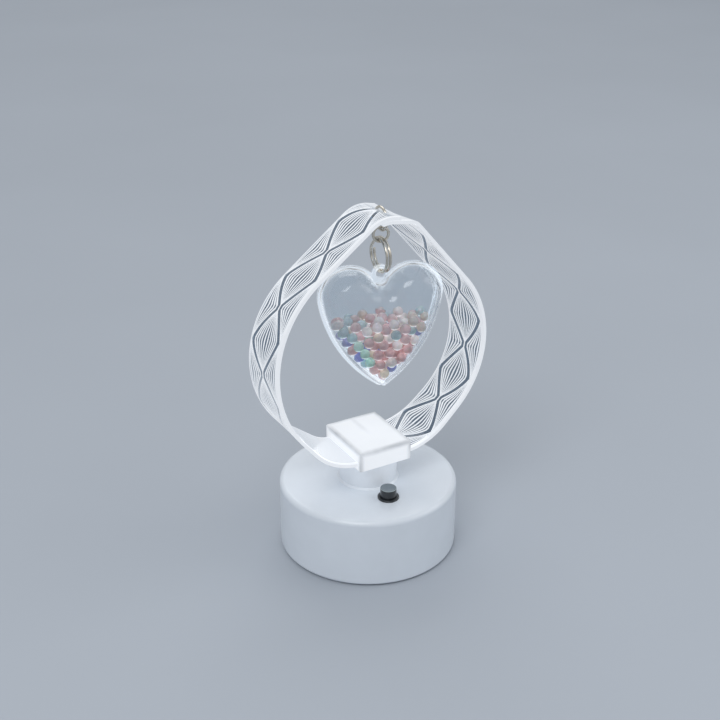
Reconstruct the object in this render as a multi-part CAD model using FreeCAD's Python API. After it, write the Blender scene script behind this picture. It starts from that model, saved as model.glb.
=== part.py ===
import FreeCAD, Part
import math
import os

# A table lamp: a white drum base with a push switch, a short neck and a glowing head,
# two clear light strips bent into a pointed loop, and a clear plastic heart that hangs
# in the loop from three metal rings and is half full of pearl beads.
#
# Millimetres. The origin is at the middle of the base, on the table. +Z is up, the
# switch is on the -Y side and the loop lies in the XZ plane.

V = FreeCAD.Vector
UP = V(0, 0, 1)

# General clearances
seat_gap = 0.05
screw_gap = 0.05
close_enough = 0.01
full_turn = 360.0
half_turn = 180.0

# Drum base
base_diameter = 88.0
base_height = 36.0
base_wall_thickness = 2.2
base_top_thickness = 2.4
base_top_rounding_radius = 2.5
base_bottom_rounding_radius = 1.6
base_inner_radius = 1.0
base_lift_height = 0.6
base_cable_hole_diameter = 14.0

# Bottom plate, its screws and the rubber feet
plate_recess_depth = 0.4
plate_thickness = 2.0
plate_gap = 0.2
plate_screw_count = 3
plate_screw_wall_distance = 3.3
plate_screw_length = 9.0
plate_boss_diameter = 7.0
foot_count = 4
foot_diameter = 8.0
foot_wall_distance = 5.6
foot_edge_radius = 0.3
foot_recess_depth = 0.3

# Screws, all of one kind but for their length
screw_diameter = 2.2
screw_head_diameter = 4.4
screw_head_height = 1.2
screw_hole_diameter = 2.6
screw_slot_width = 0.6
screw_slot_depth = 0.6
screw_slot_length = 2.64
screw_head_edge_radius = 0.48
screw_bore_spare_length = 1.0
screw_pocket_spare_depth = 0.1
head_pocket_gap = 0.3

# Battery bay in the bottom plate, for three cells side by side along X
cell_diameter = 10.5
cell_length = 44.5
cell_nipple_diameter = 5.5
cell_nipple_height = 1.0
cell_gap = 0.5
cell_edge_radius = 0.5
cell_count = 3
bay_wall_thickness = 1.6
bay_headroom_height = 0.5
contact_thickness = 0.4
contact_width = 8.0
contact_height = 8.5
leaf_rise_height = 2.6
leaf_width = 5.0
leaf_length = 6.8
door_thickness = 1.5
door_ledge_width = 1.2
door_gap = 0.2
door_lip_width = 1.0
door_screw_sink_depth = 0.8
door_tab_width = 8.0
door_tab_reach_length = 1.4
door_screw_length = 6.0
door_ear_diameter = 7.0
door_ear_overlap_length = 1.0
door_grip_count = 5
door_grip_width = 1.2
door_grip_length = 14.0
door_grip_depth = 0.4
door_grip_spacing = 3.0

# Push switch
switch_x = -2.2
switch_y = -23.4
switch_flange_diameter = 10.4
switch_flange_thickness = 1.0
switch_flange_edge_radius = 0.35
switch_bush_diameter = 9.4
switch_bush_length = 7.0
switch_bush_gap = 0.05
switch_well_depth = 2.5
switch_web_thickness = 2.0
switch_chamber_diameter = 6.4
switch_can_diameter = 9.2
switch_can_length = 9.0
switch_can_pocket_depth = 2.0
switch_can_edge_radius = 0.5
switch_nut_width = 12.0
switch_nut_thickness = 2.0
switch_tag_length = 3.0
switch_tag_width = 2.0
switch_tag_thickness = 0.5
switch_tag_spacing = 4.0
button_diameter = 8.0
button_height = 4.9
button_gap = 0.08
button_stem_diameter = 4.0
button_foot_diameter = 5.6
button_foot_thickness = 1.0
button_dish_depth = 0.5
button_rim_width = 0.7
button_edge_radius = 0.4
button_lift_height = 0.6

# Neck between the base and the head
neck_diameter = 28.6
neck_height = 14.2
neck_wall_thickness = 2.0
neck_top_thickness = 2.0
neck_foot_rounding_radius = 1.0
neck_overlap_length = 0.3
neck_screw_spacing = 19.0
neck_screw_length = 8.0
neck_post_diameter = 5.2
neck_cable_hole_diameter = 7.0

# Head: a tray and a cover that glow, and the board with its lights
head_length = 28.3
head_width = 34.8
head_height = 9.7
head_wall_thickness = 1.4
head_floor_thickness = 1.2
head_top_thickness = 1.6
head_corner_radius = 0.8
head_edge_radius = 0.6
head_screw_spacing = 17.0
head_screw_length = 8.0
head_post_diameter = 4.8
head_cable_hole_diameter = 6.0
board_length = 16.4
board_width = 30.0
board_thickness = 0.6
light_count = 3
light_spacing = 9.0
light_length = 1.6
light_width = 3.5
light_height = 1.3
light_edge_gap = 0.2
resistor_length = 3.2
resistor_width = 1.6
resistor_height = 0.6
resistor_spacing = 4.0
peg_diameter = 2.0
peg_gap = 0.1
peg_spacing = 18.0

# Light strips. Each has its own path for its front and its back edge, which differ a
# little, so the strips have a slight twist. Radii and runs are in mm, turns in degrees.
strip_width = 30.0
strip_thickness = 1.6
strip_slot_gap = 0.2
strip_grip_length = 5.0
strip_straight_length = 3.0
left_front = {"exit_radius": 31.0, "exit_angle": 50.4, "lower_length": 9.5, "side_radius": 55.0,
              "rise_angle": 36.9, "upper_length": 32.9, "tail_length": 3.2}
left_back = {"exit_radius": 19.0, "exit_angle": 36.7, "lower_length": 13.3, "side_radius": 50.0,
             "rise_angle": 37.7, "upper_length": 38.6, "tail_length": 3.7}
right_front = {"exit_radius": 32.0, "exit_angle": 44.8, "lower_length": 10.3, "side_radius": 49.7,
               "shoulder_radius": 48.7, "shelf_length": 9.5}
right_back = {"exit_radius": 37.4, "exit_angle": 40.8, "lower_length": 6.2, "side_radius": 45.0,
              "shoulder_radius": 48.2, "shelf_length": 4.3}
apex_radius = 15.0
front_shelf_angle = 8.6
back_shelf_angle = 12.0
knee_radius = 6.0
lap_gap = 0.1
lap_overrun_angle = 16.0

# Slots punched through the lap for the top ring
chain_apex_distance = 2.685
slot_spacing = 7.8
slot_length = 4.6
slot_width = 2.8

# The three rings
top_ring_diameter = 12.0
top_ring_wire_diameter = 1.3
low_ring_diameter = 8.6
low_ring_wire_diameter = 1.4
split_ring_diameter = 17.4
split_ring_wire_diameter = 1.3
split_ring_pitch = 1.75
split_ring_step_angle = 40.0
split_ring_end_angle = 8.0
split_ring_start_angle = 60.0
coil_samples = 480
ring_gap = 0.15
heart_turn_angle = -17.0
split_ring_turn_angle = -3.0

# Heart: outline radii, depth of each half and the lug
lobe_radius = 15.0
lobe_spacing = 30.0
lobe_drop_height = 10.4
side_radius = 66.0
side_angle = 9.0
lobe_mark_angle = 55.0
notch_radius = 1.8
tip_radius = 3.5
least_tip_radius = 0.4
heart_depth = 13.0
heart_wall_thickness = 1.3
rim_width = 1.4
rim_thickness = 1.2
dome_shoulder_width = 6.5
halves_gap = 0.04
lug_diameter = 8.0
lug_hole_diameter = 5.0
lug_thickness = 1.5
lug_hang_gap = 0.65

# Beads in the heart
bead_diameter = 5.0
bead_gap = 0.08
bead_level_depth = 23.4
bead_hump_height = 1.0
bead_hump_length = 6.0
bead_hump_width = 1.0
bead_grid_spacing = 0.5
bead_inset_steps = 30

# Wires inside the lamp
wire_diameter = 1.2
wire_bend_radius = 3.0
wire_hole_gap = 0.4
cable_spacing = 2.4

# Heights and places that follow from the sizes above
drum_radius = base_diameter / 2
drum_inner_radius = drum_radius - base_wall_thickness
top_underside = base_height - base_top_thickness
plate_bottom = base_lift_height + plate_recess_depth
plate_top = plate_bottom + plate_thickness
plate_radius = drum_inner_radius - plate_gap
plate_screw_radius = drum_inner_radius - plate_screw_wall_distance
foot_radius = drum_inner_radius - foot_wall_distance
cell_pitch = cell_diameter + cell_gap
cell_bottom = plate_bottom + door_thickness + door_gap
cell_middle = cell_bottom + cell_diameter / 2
bay_ceiling = cell_bottom + cell_diameter + bay_headroom_height
bay_top = bay_ceiling + bay_wall_thickness
bay_length = cell_length + leaf_rise_height + 2 * contact_thickness + 4 * seat_gap
bay_width = cell_count * cell_pitch
neck_top = base_height + neck_height
strip_middle = neck_top + head_floor_thickness + board_thickness + strip_thickness / 2 + strip_slot_gap
parting = strip_middle + strip_thickness / 2 + strip_slot_gap
head_ceiling = neck_top + head_height - head_top_thickness
strip_start = head_length / 2 - strip_grip_length


def cylinder(radius, height, x=0.0, y=0.0, z=0.0):
    """An upright cylinder that stands on (x, y, z)."""
    return Part.makeCylinder(radius, height, V(x, y, z), UP)


def centred_box(length, width, height, x=0.0, y=0.0, z=0.0):
    """A box whose bottom face has its middle at (x, y, z)."""
    return Part.makeBox(length, width, height, V(x - length / 2, y - width / 2, z))


def rounded_box(length, width, height, radius, z):
    """A centred box with rounded upright edges."""
    box = centred_box(length, width, height, z=z)
    upright = [e for e in box.Edges if abs(e.Vertexes[0].Z - e.Vertexes[1].Z) > height / 2]
    return box.makeFillet(radius, upright)


def polar(radius, angle):
    """X and Y of a point on a circle about the origin, with its angle in degrees."""
    return radius * math.cos(math.radians(angle)), radius * math.sin(math.radians(angle))


def spread(count, spacing):
    """Places of count things that are spacing apart and centred on zero."""
    return [(i - (count - 1) / 2) * spacing for i in range(count)]


def flipped(point):
    """The same point on the other side of the YZ plane."""
    return V(-point.x, point.y, point.z)


def revolved(points):
    """A solid of revolution about Z from (radius, height) corners."""
    wire = Part.makePolygon([V(r, 0, z) for r, z in points + points[:1]])
    return Part.Face(wire).revolve(V(0, 0, 0), UP, full_turn)


def circle_edges(shape, radius, z):
    """The round edges of one radius at one height."""
    found = []
    for edge in shape.Edges:
        curve = edge.Curve
        if isinstance(curve, Part.Circle) and abs(curve.Radius - radius) < close_enough:
            if abs(curve.Center.z - z) < close_enough:
                found.append(edge)
    return found


def screw(length, x, y, seat):
    """A screw whose head lies below seat and whose shank points up."""
    head_radius = screw_head_diameter / 2
    head = cylinder(head_radius, screw_head_height, z=-screw_head_height)
    head = head.makeFillet(screw_head_edge_radius, circle_edges(head, head_radius, -screw_head_height))
    shank = cylinder(screw_diameter / 2, length)
    body = head.fuse(shank)
    for turn in (0, 90):
        slot = centred_box(screw_slot_length, screw_slot_width, screw_slot_depth, z=-screw_head_height)
        slot.rotate(V(0, 0, 0), UP, turn)
        body = body.cut(slot)
    body = body.removeSplitter()
    body.translate(V(x, y, seat))
    return body


def path_wire(points, bend):
    """Straight runs through the points, joined by tangent arcs of radius bend."""
    edges = []
    start = points[0]
    for before, corner, after in zip(points, points[1:], points[2:]):
        back = (before - corner).normalize()
        ahead = (after - corner).normalize()
        half = back.getAngle(ahead) / 2
        reach = bend / math.tan(half)
        middle = (back + ahead).normalize()
        near = corner + back * reach
        far = corner + ahead * reach
        top = corner + middle * (bend / math.sin(half) - bend)
        edges.append(Part.LineSegment(start, near).toShape())
        edges.append(Part.Arc(near, top, far).toShape())
        start = far
    edges.append(Part.LineSegment(start, points[-1]).toShape())
    return Part.Wire(edges)


def wire_along(points):
    """A wire of round section along straight runs and bends."""
    path = path_wire(points, wire_bend_radius)
    ring = Part.Wire(Part.makeCircle(wire_diameter / 2, points[0], points[1] - points[0]))
    return path.makePipeShell([ring], True, False)


# Places of repeated things

def plate_screw_places():
    step = full_turn / plate_screw_count
    return [polar(plate_screw_radius, 90 + i * step) for i in range(plate_screw_count)]


def foot_places():
    step = full_turn / foot_count
    return [polar(foot_radius, 45 + i * step) for i in range(foot_count)]


def neck_screw_places():
    return [(x, 0.0) for x in spread(2, neck_screw_spacing)]


def head_screw_places():
    return [(0.0, y) for y in spread(2, head_screw_spacing)]


def peg_places():
    x = strip_start + strip_grip_length / 2 - head_wall_thickness / 2
    return [(side * x, y) for side in (-1, 1) for y in spread(2, peg_spacing)]


def door_screw_place():
    return bay_length / 2 + bay_wall_thickness + door_ear_diameter / 2 - door_ear_overlap_length, 0.0


# Base

def base_shell():
    """The drum: a flat top and a round wall, open below, with posts for the plate's screws."""
    outer = cylinder(drum_radius, base_height - base_lift_height, z=base_lift_height)
    outer = outer.makeFillet(base_top_rounding_radius, circle_edges(outer, drum_radius, base_height))
    bottom_edge = circle_edges(outer, drum_radius, base_lift_height)
    outer = outer.makeFillet(base_bottom_rounding_radius, bottom_edge)
    hollow = cylinder(drum_inner_radius, top_underside - base_lift_height, z=base_lift_height)
    hollow = hollow.makeFillet(base_inner_radius, circle_edges(hollow, drum_inner_radius, top_underside))
    shell = outer.cut(hollow)
    post_bottom = plate_top + seat_gap
    for x, y in plate_screw_places():
        post_height = top_underside - post_bottom + base_top_thickness / 2
        shell = shell.fuse(cylinder(plate_boss_diameter / 2, post_height, x, y, post_bottom))
    for x, y in plate_screw_places():
        bore_height = plate_screw_length + screw_bore_spare_length
        bore = cylinder(screw_diameter / 2 + screw_gap, bore_height, x, y, post_bottom)
        shell = shell.cut(bore)
    shell = shell.cut(cylinder(base_cable_hole_diameter / 2, base_top_thickness, z=top_underside))
    switch_hole = switch_bush_diameter / 2 + switch_bush_gap
    shell = shell.cut(cylinder(switch_hole, base_top_thickness, switch_x, switch_y, top_underside))
    for x, y in neck_screw_places():
        shell = shell.cut(cylinder(screw_hole_diameter / 2, base_top_thickness, x, y, top_underside))
    return shell


def base_plate():
    """The bottom plate with the battery bay standing on it."""
    plate = cylinder(plate_radius, plate_thickness, z=plate_bottom)
    bay_height = bay_top - plate_bottom
    outside = centred_box(bay_length + 2 * bay_wall_thickness, bay_width + 2 * bay_wall_thickness,
                          bay_height, z=plate_bottom)
    plate = plate.fuse(outside)
    ear_x, ear_y = door_screw_place()
    ear_top = plate_bottom + door_thickness + door_screw_length + screw_bore_spare_length
    ear = cylinder(door_ear_diameter / 2, ear_top - plate_bottom, ear_x, ear_y, plate_bottom)
    plate = plate.fuse(ear)
    inside = centred_box(bay_length, bay_width, bay_ceiling - plate_bottom, z=plate_bottom)
    plate = plate.cut(inside)
    recess = door_outline(door_gap, door_thickness + seat_gap)
    plate = plate.cut(recess)
    plate = plate.cut(door_tab_slots())
    bore_depth = door_screw_length + door_screw_sink_depth + screw_gap
    ear_bore = cylinder(screw_diameter / 2 + screw_gap, bore_depth, ear_x, ear_y, plate_bottom)
    plate = plate.cut(ear_bore)
    for x, y in plate_screw_places():
        plate = plate.cut(cylinder(screw_hole_diameter / 2, plate_thickness, x, y, plate_bottom))
        pocket = screw_head_diameter / 2 + head_pocket_gap
        pocket_depth = screw_head_height + screw_pocket_spare_depth
        plate = plate.cut(cylinder(pocket, pocket_depth, x, y, plate_bottom))
    for x, y in foot_places():
        plate = plate.cut(cylinder(foot_diameter / 2 + seat_gap, foot_recess_depth, x, y, plate_bottom))
    for x, y in bay_wire_places():
        hole = cylinder(wire_diameter / 2 + wire_hole_gap, bay_wall_thickness, x, y, bay_ceiling)
        plate = plate.cut(hole)
    return plate.removeSplitter()


def door_outline(grow, height):
    """The door's plan, a plate with a round ear for its screw, grown by a gap."""
    length = bay_length + 2 * (door_ledge_width - door_gap) + 2 * grow
    width = bay_width + 2 * (door_ledge_width - door_gap) + 2 * grow
    plate = centred_box(length, width, height, z=plate_bottom)
    ear_x, ear_y = door_screw_place()
    ear = cylinder(door_ear_diameter / 2 - door_lip_width + grow, height, ear_x, ear_y, plate_bottom)
    bridge_width = door_ear_diameter - 2 * door_lip_width + 2 * grow
    bridge = centred_box(ear_x, bridge_width, height, ear_x / 2, 0, plate_bottom)
    return plate.fuse([ear, bridge])


def door_tabs(grow):
    """Two tabs that hook over the bay's far wall."""
    tabs = []
    length = bay_length / 2 + door_ledge_width - door_gap
    for y in spread(2, bay_width / 2):
        thickness = door_thickness / 2 + grow
        x = -length - (door_tab_reach_length + grow) / 2
        z = plate_bottom + door_thickness / 2 - grow / 2
        width = door_tab_width + 2 * grow
        tabs.append(centred_box(door_tab_reach_length + grow, width, thickness, x, y, z))
    return tabs


def door_tab_slots():
    """The room that the tabs take in the plate."""
    return Part.makeCompound(door_tabs(door_gap))


def battery_door():
    """The cover of the battery bay, flush with the plate."""
    door = door_outline(0.0, door_thickness)
    door = door.fuse(door_tabs(0.0))
    ear_x, ear_y = door_screw_place()
    door = door.cut(cylinder(screw_hole_diameter / 2, door_thickness, ear_x, ear_y, plate_bottom))
    pocket = screw_head_diameter / 2 + head_pocket_gap
    door = door.cut(cylinder(pocket, door_screw_sink_depth, ear_x, ear_y, plate_bottom))
    for x in spread(door_grip_count, door_grip_spacing):
        grip = centred_box(door_grip_width, door_grip_length, door_grip_depth,
                           x - bay_length / 3, 0, plate_bottom)
        door = door.cut(grip)
    return door.removeSplitter()


def battery_door_screw():
    ear_x, ear_y = door_screw_place()
    return screw(door_screw_length, ear_x, ear_y, plate_bottom + door_screw_sink_depth)


def cell_places():
    """Middle of each cell across the bay, and which way its nipple points."""
    return [(y, -1 if i % 2 else 1) for i, y in enumerate(spread(cell_count, cell_pitch))]


def battery(y, way):
    """One cell along X with its nipple at the end that way names."""
    middle = way * leaf_rise_height / 2
    start = V(middle - way * cell_length / 2, y, cell_middle)
    can_length = cell_length - cell_nipple_height
    can = Part.makeCylinder(cell_diameter / 2, can_length, start, V(way, 0, 0))
    can = can.makeFillet(cell_edge_radius, [e for e in can.Edges if isinstance(e.Curve, Part.Circle)])
    tip = start + V(way * can_length, 0, 0)
    nipple = Part.makeCylinder(cell_nipple_diameter / 2, cell_nipple_height, tip, V(way, 0, 0))
    return can.fuse(nipple)


def contact_blade(side, y):
    """A flat blade against one end wall of the bay."""
    x = side * (bay_length / 2 - seat_gap - contact_thickness / 2)
    return centred_box(contact_thickness, contact_width, contact_height, x, y,
                       cell_middle - contact_height / 2)


def contact_plates():
    """The flat contacts at the nipples."""
    return Part.makeCompound([contact_blade(way, y) for y, way in cell_places()])


def contact_leaves():
    """The springy contacts at the flat ends: a blade and a bowed leaf."""
    pieces = []
    for y, way in cell_places():
        side = -way
        face = side * (bay_length / 2 - seat_gap - contact_thickness)
        rise = leaf_rise_height - seat_gap
        half = leaf_length / 2
        radius = (half * half + rise * rise) / (2 * rise)
        middle = V(face - side * (rise - radius), y - leaf_width / 2, cell_middle)
        disc = Part.makeCylinder(radius, leaf_width, middle, V(0, 1, 0))
        core = Part.makeCylinder(radius - contact_thickness, leaf_width, middle, V(0, 1, 0))
        bow = disc.cut(core)
        window = centred_box(leaf_rise_height * 2, leaf_width, contact_height,
                             face - side * leaf_rise_height, y, cell_middle - contact_height / 2)
        bow = bow.common(window)
        pieces.append(contact_blade(side, y).fuse(bow).removeSplitter())
    return Part.makeCompound(pieces)


def plate_screws():
    seat = plate_bottom + screw_head_height + screw_pocket_spare_depth
    return Part.makeCompound([screw(plate_screw_length, x, y, seat) for x, y in plate_screw_places()])


def rubber_feet():
    feet = []
    height = plate_bottom + foot_recess_depth
    for x, y in foot_places():
        foot = cylinder(foot_diameter / 2, height, x, y, 0)
        feet.append(foot.makeFillet(foot_edge_radius, circle_edges(foot, foot_diameter / 2, 0)))
    return Part.makeCompound(feet)


# Switch

button_bottom = base_height + button_lift_height
well_bottom = base_height + switch_flange_thickness - switch_well_depth
web_bottom = well_bottom - switch_web_thickness
bush_bottom = base_height - switch_bush_length
can_bottom = bush_bottom - switch_can_length
button_foot_top = web_bottom - seat_gap


def switch_bezel():
    """The flanged bush that passes through the base's top."""
    flange = cylinder(switch_flange_diameter / 2, switch_flange_thickness, switch_x, switch_y, base_height)
    top_edge = circle_edges(flange, switch_flange_diameter / 2, base_height + switch_flange_thickness)
    flange = flange.makeFillet(switch_flange_edge_radius, top_edge)
    bush = cylinder(switch_bush_diameter / 2, switch_bush_length, switch_x, switch_y, bush_bottom)
    body = flange.fuse(bush)
    well = cylinder(button_diameter / 2 + button_gap, switch_well_depth, switch_x, switch_y, well_bottom)
    bore = cylinder(button_stem_diameter / 2 + button_gap, switch_web_thickness,
                    switch_x, switch_y, web_bottom)
    chamber = cylinder(switch_chamber_diameter / 2, web_bottom - bush_bottom,
                       switch_x, switch_y, bush_bottom)
    return body.cut(well).cut(bore).cut(chamber).removeSplitter()


def switch_button():
    """The cap that is pressed: a dished head, a stem and a foot that keeps it in."""
    radius = button_diameter / 2
    top = button_bottom + button_height
    head = cylinder(radius, button_height, z=button_bottom)
    head = head.makeFillet(button_edge_radius, circle_edges(head, radius, top))
    dish_radius = radius - button_rim_width
    ball_radius = (dish_radius ** 2 + button_dish_depth ** 2) / (2 * button_dish_depth)
    head = head.cut(Part.makeSphere(ball_radius, V(0, 0, top - button_dish_depth + ball_radius)))
    foot_bottom = button_foot_top - button_foot_thickness
    stem = cylinder(button_stem_diameter / 2, button_bottom - foot_bottom, z=foot_bottom)
    foot = cylinder(button_foot_diameter / 2, button_foot_thickness, z=foot_bottom)
    button = head.fuse([stem, foot]).removeSplitter()
    button.translate(V(switch_x, switch_y, 0))
    return button


def switch_nut():
    """The hexagon nut that clamps the bush from inside."""
    corner = switch_nut_width / 2 / math.cos(math.radians(30))
    points = [V(*polar(corner, 30 + 60 * i), 0) for i in range(7)]
    z = top_underside - seat_gap - switch_nut_thickness
    nut = Part.Face(Part.makePolygon(points)).extrude(V(0, 0, switch_nut_thickness))
    nut = nut.cut(cylinder(switch_bush_diameter / 2 + screw_gap, switch_nut_thickness))
    nut.translate(V(switch_x, switch_y, z))
    return nut


def switch_body():
    """The can below the bush that holds the contacts."""
    can = cylinder(switch_can_diameter / 2, switch_can_length, z=can_bottom)
    pocket = cylinder(switch_chamber_diameter / 2, switch_can_pocket_depth,
                      z=bush_bottom - switch_can_pocket_depth)
    can = can.cut(pocket)
    can = can.makeFillet(switch_can_edge_radius, circle_edges(can, switch_can_diameter / 2, can_bottom))
    can.translate(V(switch_x, switch_y, 0))
    return can


def switch_tag_places():
    return [(switch_x + x, switch_y) for x in spread(2, switch_tag_spacing)]


def switch_tags():
    """The two solder tags under the can."""
    z = can_bottom - switch_tag_length
    tags = []
    for x, y in switch_tag_places():
        tags.append(centred_box(switch_tag_thickness, switch_tag_width, switch_tag_length, x, y, z))
    return Part.makeCompound(tags)


# Neck and head

def neck():
    """The round neck, closed above and screwed on from inside the base."""
    radius = neck_diameter / 2
    outer = cylinder(radius, neck_height, z=base_height)
    skirt_inner = radius - neck_overlap_length
    skirt = revolved([(skirt_inner, base_height),
                      (radius + neck_foot_rounding_radius, base_height),
                      (skirt_inner, base_height + neck_foot_rounding_radius)])
    inner = cylinder(radius - neck_wall_thickness, neck_height - neck_top_thickness, z=base_height)
    body = outer.fuse(skirt).cut(inner)
    for x, y in neck_screw_places():
        post = cylinder(neck_post_diameter / 2, neck_height - neck_top_thickness, x, y, base_height)
        body = body.fuse(post.common(cylinder(radius - neck_overlap_length, neck_height, z=base_height)))
    for x, y in neck_screw_places():
        bore = cylinder(screw_diameter / 2 + screw_gap, neck_screw_length, x, y, base_height)
        body = body.cut(bore)
    top_wall = neck_top - neck_top_thickness
    body = body.cut(cylinder(neck_cable_hole_diameter / 2, neck_top_thickness, z=top_wall))
    for x, y in head_screw_places():
        body = body.cut(cylinder(screw_hole_diameter / 2, neck_top_thickness, x, y, top_wall))
    return body.removeSplitter()


def neck_screws():
    return Part.makeCompound([screw(neck_screw_length, x, y, top_underside)
                              for x, y in neck_screw_places()])


def strip_slots():
    """The gaps in the head's end walls where the strips go in."""
    height = strip_thickness + 2 * strip_slot_gap
    width = strip_width + 2 * strip_slot_gap
    slots = []
    for side in (-1, 1):
        x = side * (head_length / 2 - strip_grip_length / 2)
        slots.append(centred_box(strip_grip_length + 2 * strip_slot_gap, width, height, x, 0,
                                 strip_middle - height / 2))
    return slots


def head_tray():
    """The lower half of the head, which the board and the strips lie in."""
    tray = rounded_box(head_length, head_width, parting - neck_top, head_corner_radius, neck_top)
    pocket = centred_box(board_length + 4 * strip_slot_gap, head_width - 2 * head_wall_thickness,
                         parting - neck_top - head_floor_thickness, z=neck_top + head_floor_thickness)
    tray = tray.cut(pocket)
    for slot in strip_slots():
        tray = tray.cut(slot)
    tray = tray.cut(cylinder(head_cable_hole_diameter / 2, head_floor_thickness, z=neck_top))
    for x, y in head_screw_places():
        tray = tray.cut(cylinder(screw_hole_diameter / 2, head_floor_thickness, x, y, neck_top))
    return tray.removeSplitter()


def head_cover():
    """The glowing top of the head, with posts for its screws and pegs for the strips."""
    height = neck_top + head_height - parting
    cover = rounded_box(head_length, head_width, height, head_corner_radius, parting)
    top_edges = [e for e in cover.Edges if e.BoundBox.ZMin > parting + height - close_enough]
    cover = cover.makeFillet(head_edge_radius, top_edges)
    inside = centred_box(head_length - 2 * head_wall_thickness, head_width - 2 * head_wall_thickness,
                         head_ceiling - parting, z=parting)
    cover = cover.cut(inside)
    post_bottom = neck_top + head_floor_thickness + board_thickness + 2 * seat_gap
    post_height = head_ceiling - post_bottom
    for x, y in head_screw_places():
        cover = cover.fuse(cylinder(head_post_diameter / 2, post_height, x, y, post_bottom))
    peg_bottom = strip_middle - strip_thickness / 2
    for x, y in peg_places():
        cover = cover.fuse(cylinder(peg_diameter / 2, head_ceiling - peg_bottom, x, y, peg_bottom))
    for x, y in head_screw_places():
        bore_depth = head_screw_length - neck_top_thickness - head_floor_thickness
        cover = cover.cut(cylinder(screw_diameter / 2 + screw_gap, bore_depth, x, y, post_bottom))
    return cover.removeSplitter()


def head_screws():
    seat = neck_top - neck_top_thickness
    return Part.makeCompound([screw(head_screw_length, x, y, seat) for x, y in head_screw_places()])


board_bottom = neck_top + head_floor_thickness + seat_gap


def light_board():
    """The small circuit board on the tray's floor."""
    board = centred_box(board_length, board_width, board_thickness, z=board_bottom)
    for x, y in head_screw_places():
        board = board.cut(cylinder(screw_hole_diameter / 2, board_thickness, x, y, board_bottom))
    return board


def light_places():
    x = board_length / 2 - light_length / 2 - light_edge_gap
    return [(side * x, y) for side in (-1, 1) for y in spread(light_count, light_spacing)]


def lights():
    """The light-emitting diodes, which shine into the ends of the strips."""
    z = board_bottom + board_thickness
    return Part.makeCompound([centred_box(light_length, light_width, light_height, x, y, z)
                              for x, y in light_places()])


def resistors():
    """Two chip resistors in the middle of the board."""
    z = board_bottom + board_thickness
    return Part.makeCompound([centred_box(resistor_width, resistor_length, resistor_height, x, 0, z)
                              for x in spread(2, resistor_spacing)])


# Light strips

class Track:
    """A path in the XZ plane, kept as its two offset sides, made of runs and left-hand bends."""

    def __init__(self, x, z, heading):
        self.place = V(x, 0, z)
        self.heading = heading
        self.inner = []
        self.outer = []

    def along(self):
        angle = math.radians(self.heading)
        return V(math.cos(angle), 0, math.sin(angle))

    def left(self):
        angle = math.radians(self.heading + 90)
        return V(math.cos(angle), 0, math.sin(angle))

    def sides(self):
        half = strip_thickness / 2
        return self.place + self.left() * half, self.place - self.left() * half

    def run(self, length):
        inner, outer = self.sides()
        step = self.along() * length
        self.place = self.place + step
        self.inner.append(Part.LineSegment(inner, inner + step).toShape())
        self.outer.append(Part.LineSegment(outer, outer + step).toShape())

    def bend(self, radius, turn):
        centre = self.place + self.left() * radius
        before = self.sides()
        start = self.heading
        self.heading = start + turn / 2
        self.place = centre - self.left() * radius
        halfway = self.sides()
        self.heading = start + turn
        self.place = centre - self.left() * radius
        after = self.sides()
        for kept, a, b, c in zip((self.inner, self.outer), before, halfway, after):
            kept.append(Part.Arc(a, b, c).toShape())
        return centre

    def outline(self, y):
        """The closed outline of the strip's edge in the plane at y."""
        starts = [self.inner[0].Vertexes[0].Point, self.outer[0].Vertexes[0].Point]
        ends = [self.inner[-1].Vertexes[-1].Point, self.outer[-1].Vertexes[-1].Point]
        end_cap = Part.LineSegment(ends[0], ends[1]).toShape()
        start_cap = Part.LineSegment(starts[1], starts[0]).toShape()
        edges = self.inner + [end_cap] + self.outer[::-1] + [start_cap]
        wire = Part.Wire(Part.__sortEdges__(edges))
        wire.translate(V(0, y, 0))
        return wire


def left_track(size, shelf_angle):
    """From the head out to the left, up the side and over the apex.

    The strip is drawn as if it went to the right, then mirrored, so every bend is left-hand.
    """
    track = Track(strip_start, strip_middle, 0)
    track.run(strip_straight_length)
    track.bend(size["exit_radius"], size["exit_angle"])
    track.run(size["lower_length"])
    track.bend(size["side_radius"], half_turn - size["exit_angle"] - size["rise_angle"])
    track.run(size["upper_length"])
    centre = track.bend(apex_radius, size["rise_angle"] + shelf_angle)
    track.run(size["tail_length"])
    return track, centre


def mirrored(shape):
    return shape.mirror(V(0, 0, 0), V(1, 0, 0))


left_front_track, left_front_centre = left_track(left_front, front_shelf_angle)
left_back_track, left_back_centre = left_track(left_back, back_shelf_angle)
apex_front = flipped(left_front_centre)
apex_back = flipped(left_back_centre)
lap_radius = apex_radius - strip_thickness - lap_gap
chain_x = (apex_front.x + apex_back.x) / 2 + chain_apex_distance


def lap_height(x, y):
    """How high the top of the lap is at a place near the apex."""
    share = y / strip_width + 0.5
    centre = apex_front + (apex_back - apex_front) * share
    return centre.z + math.sqrt((apex_radius + strip_thickness / 2) ** 2 - (x - centre.x) ** 2)


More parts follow.
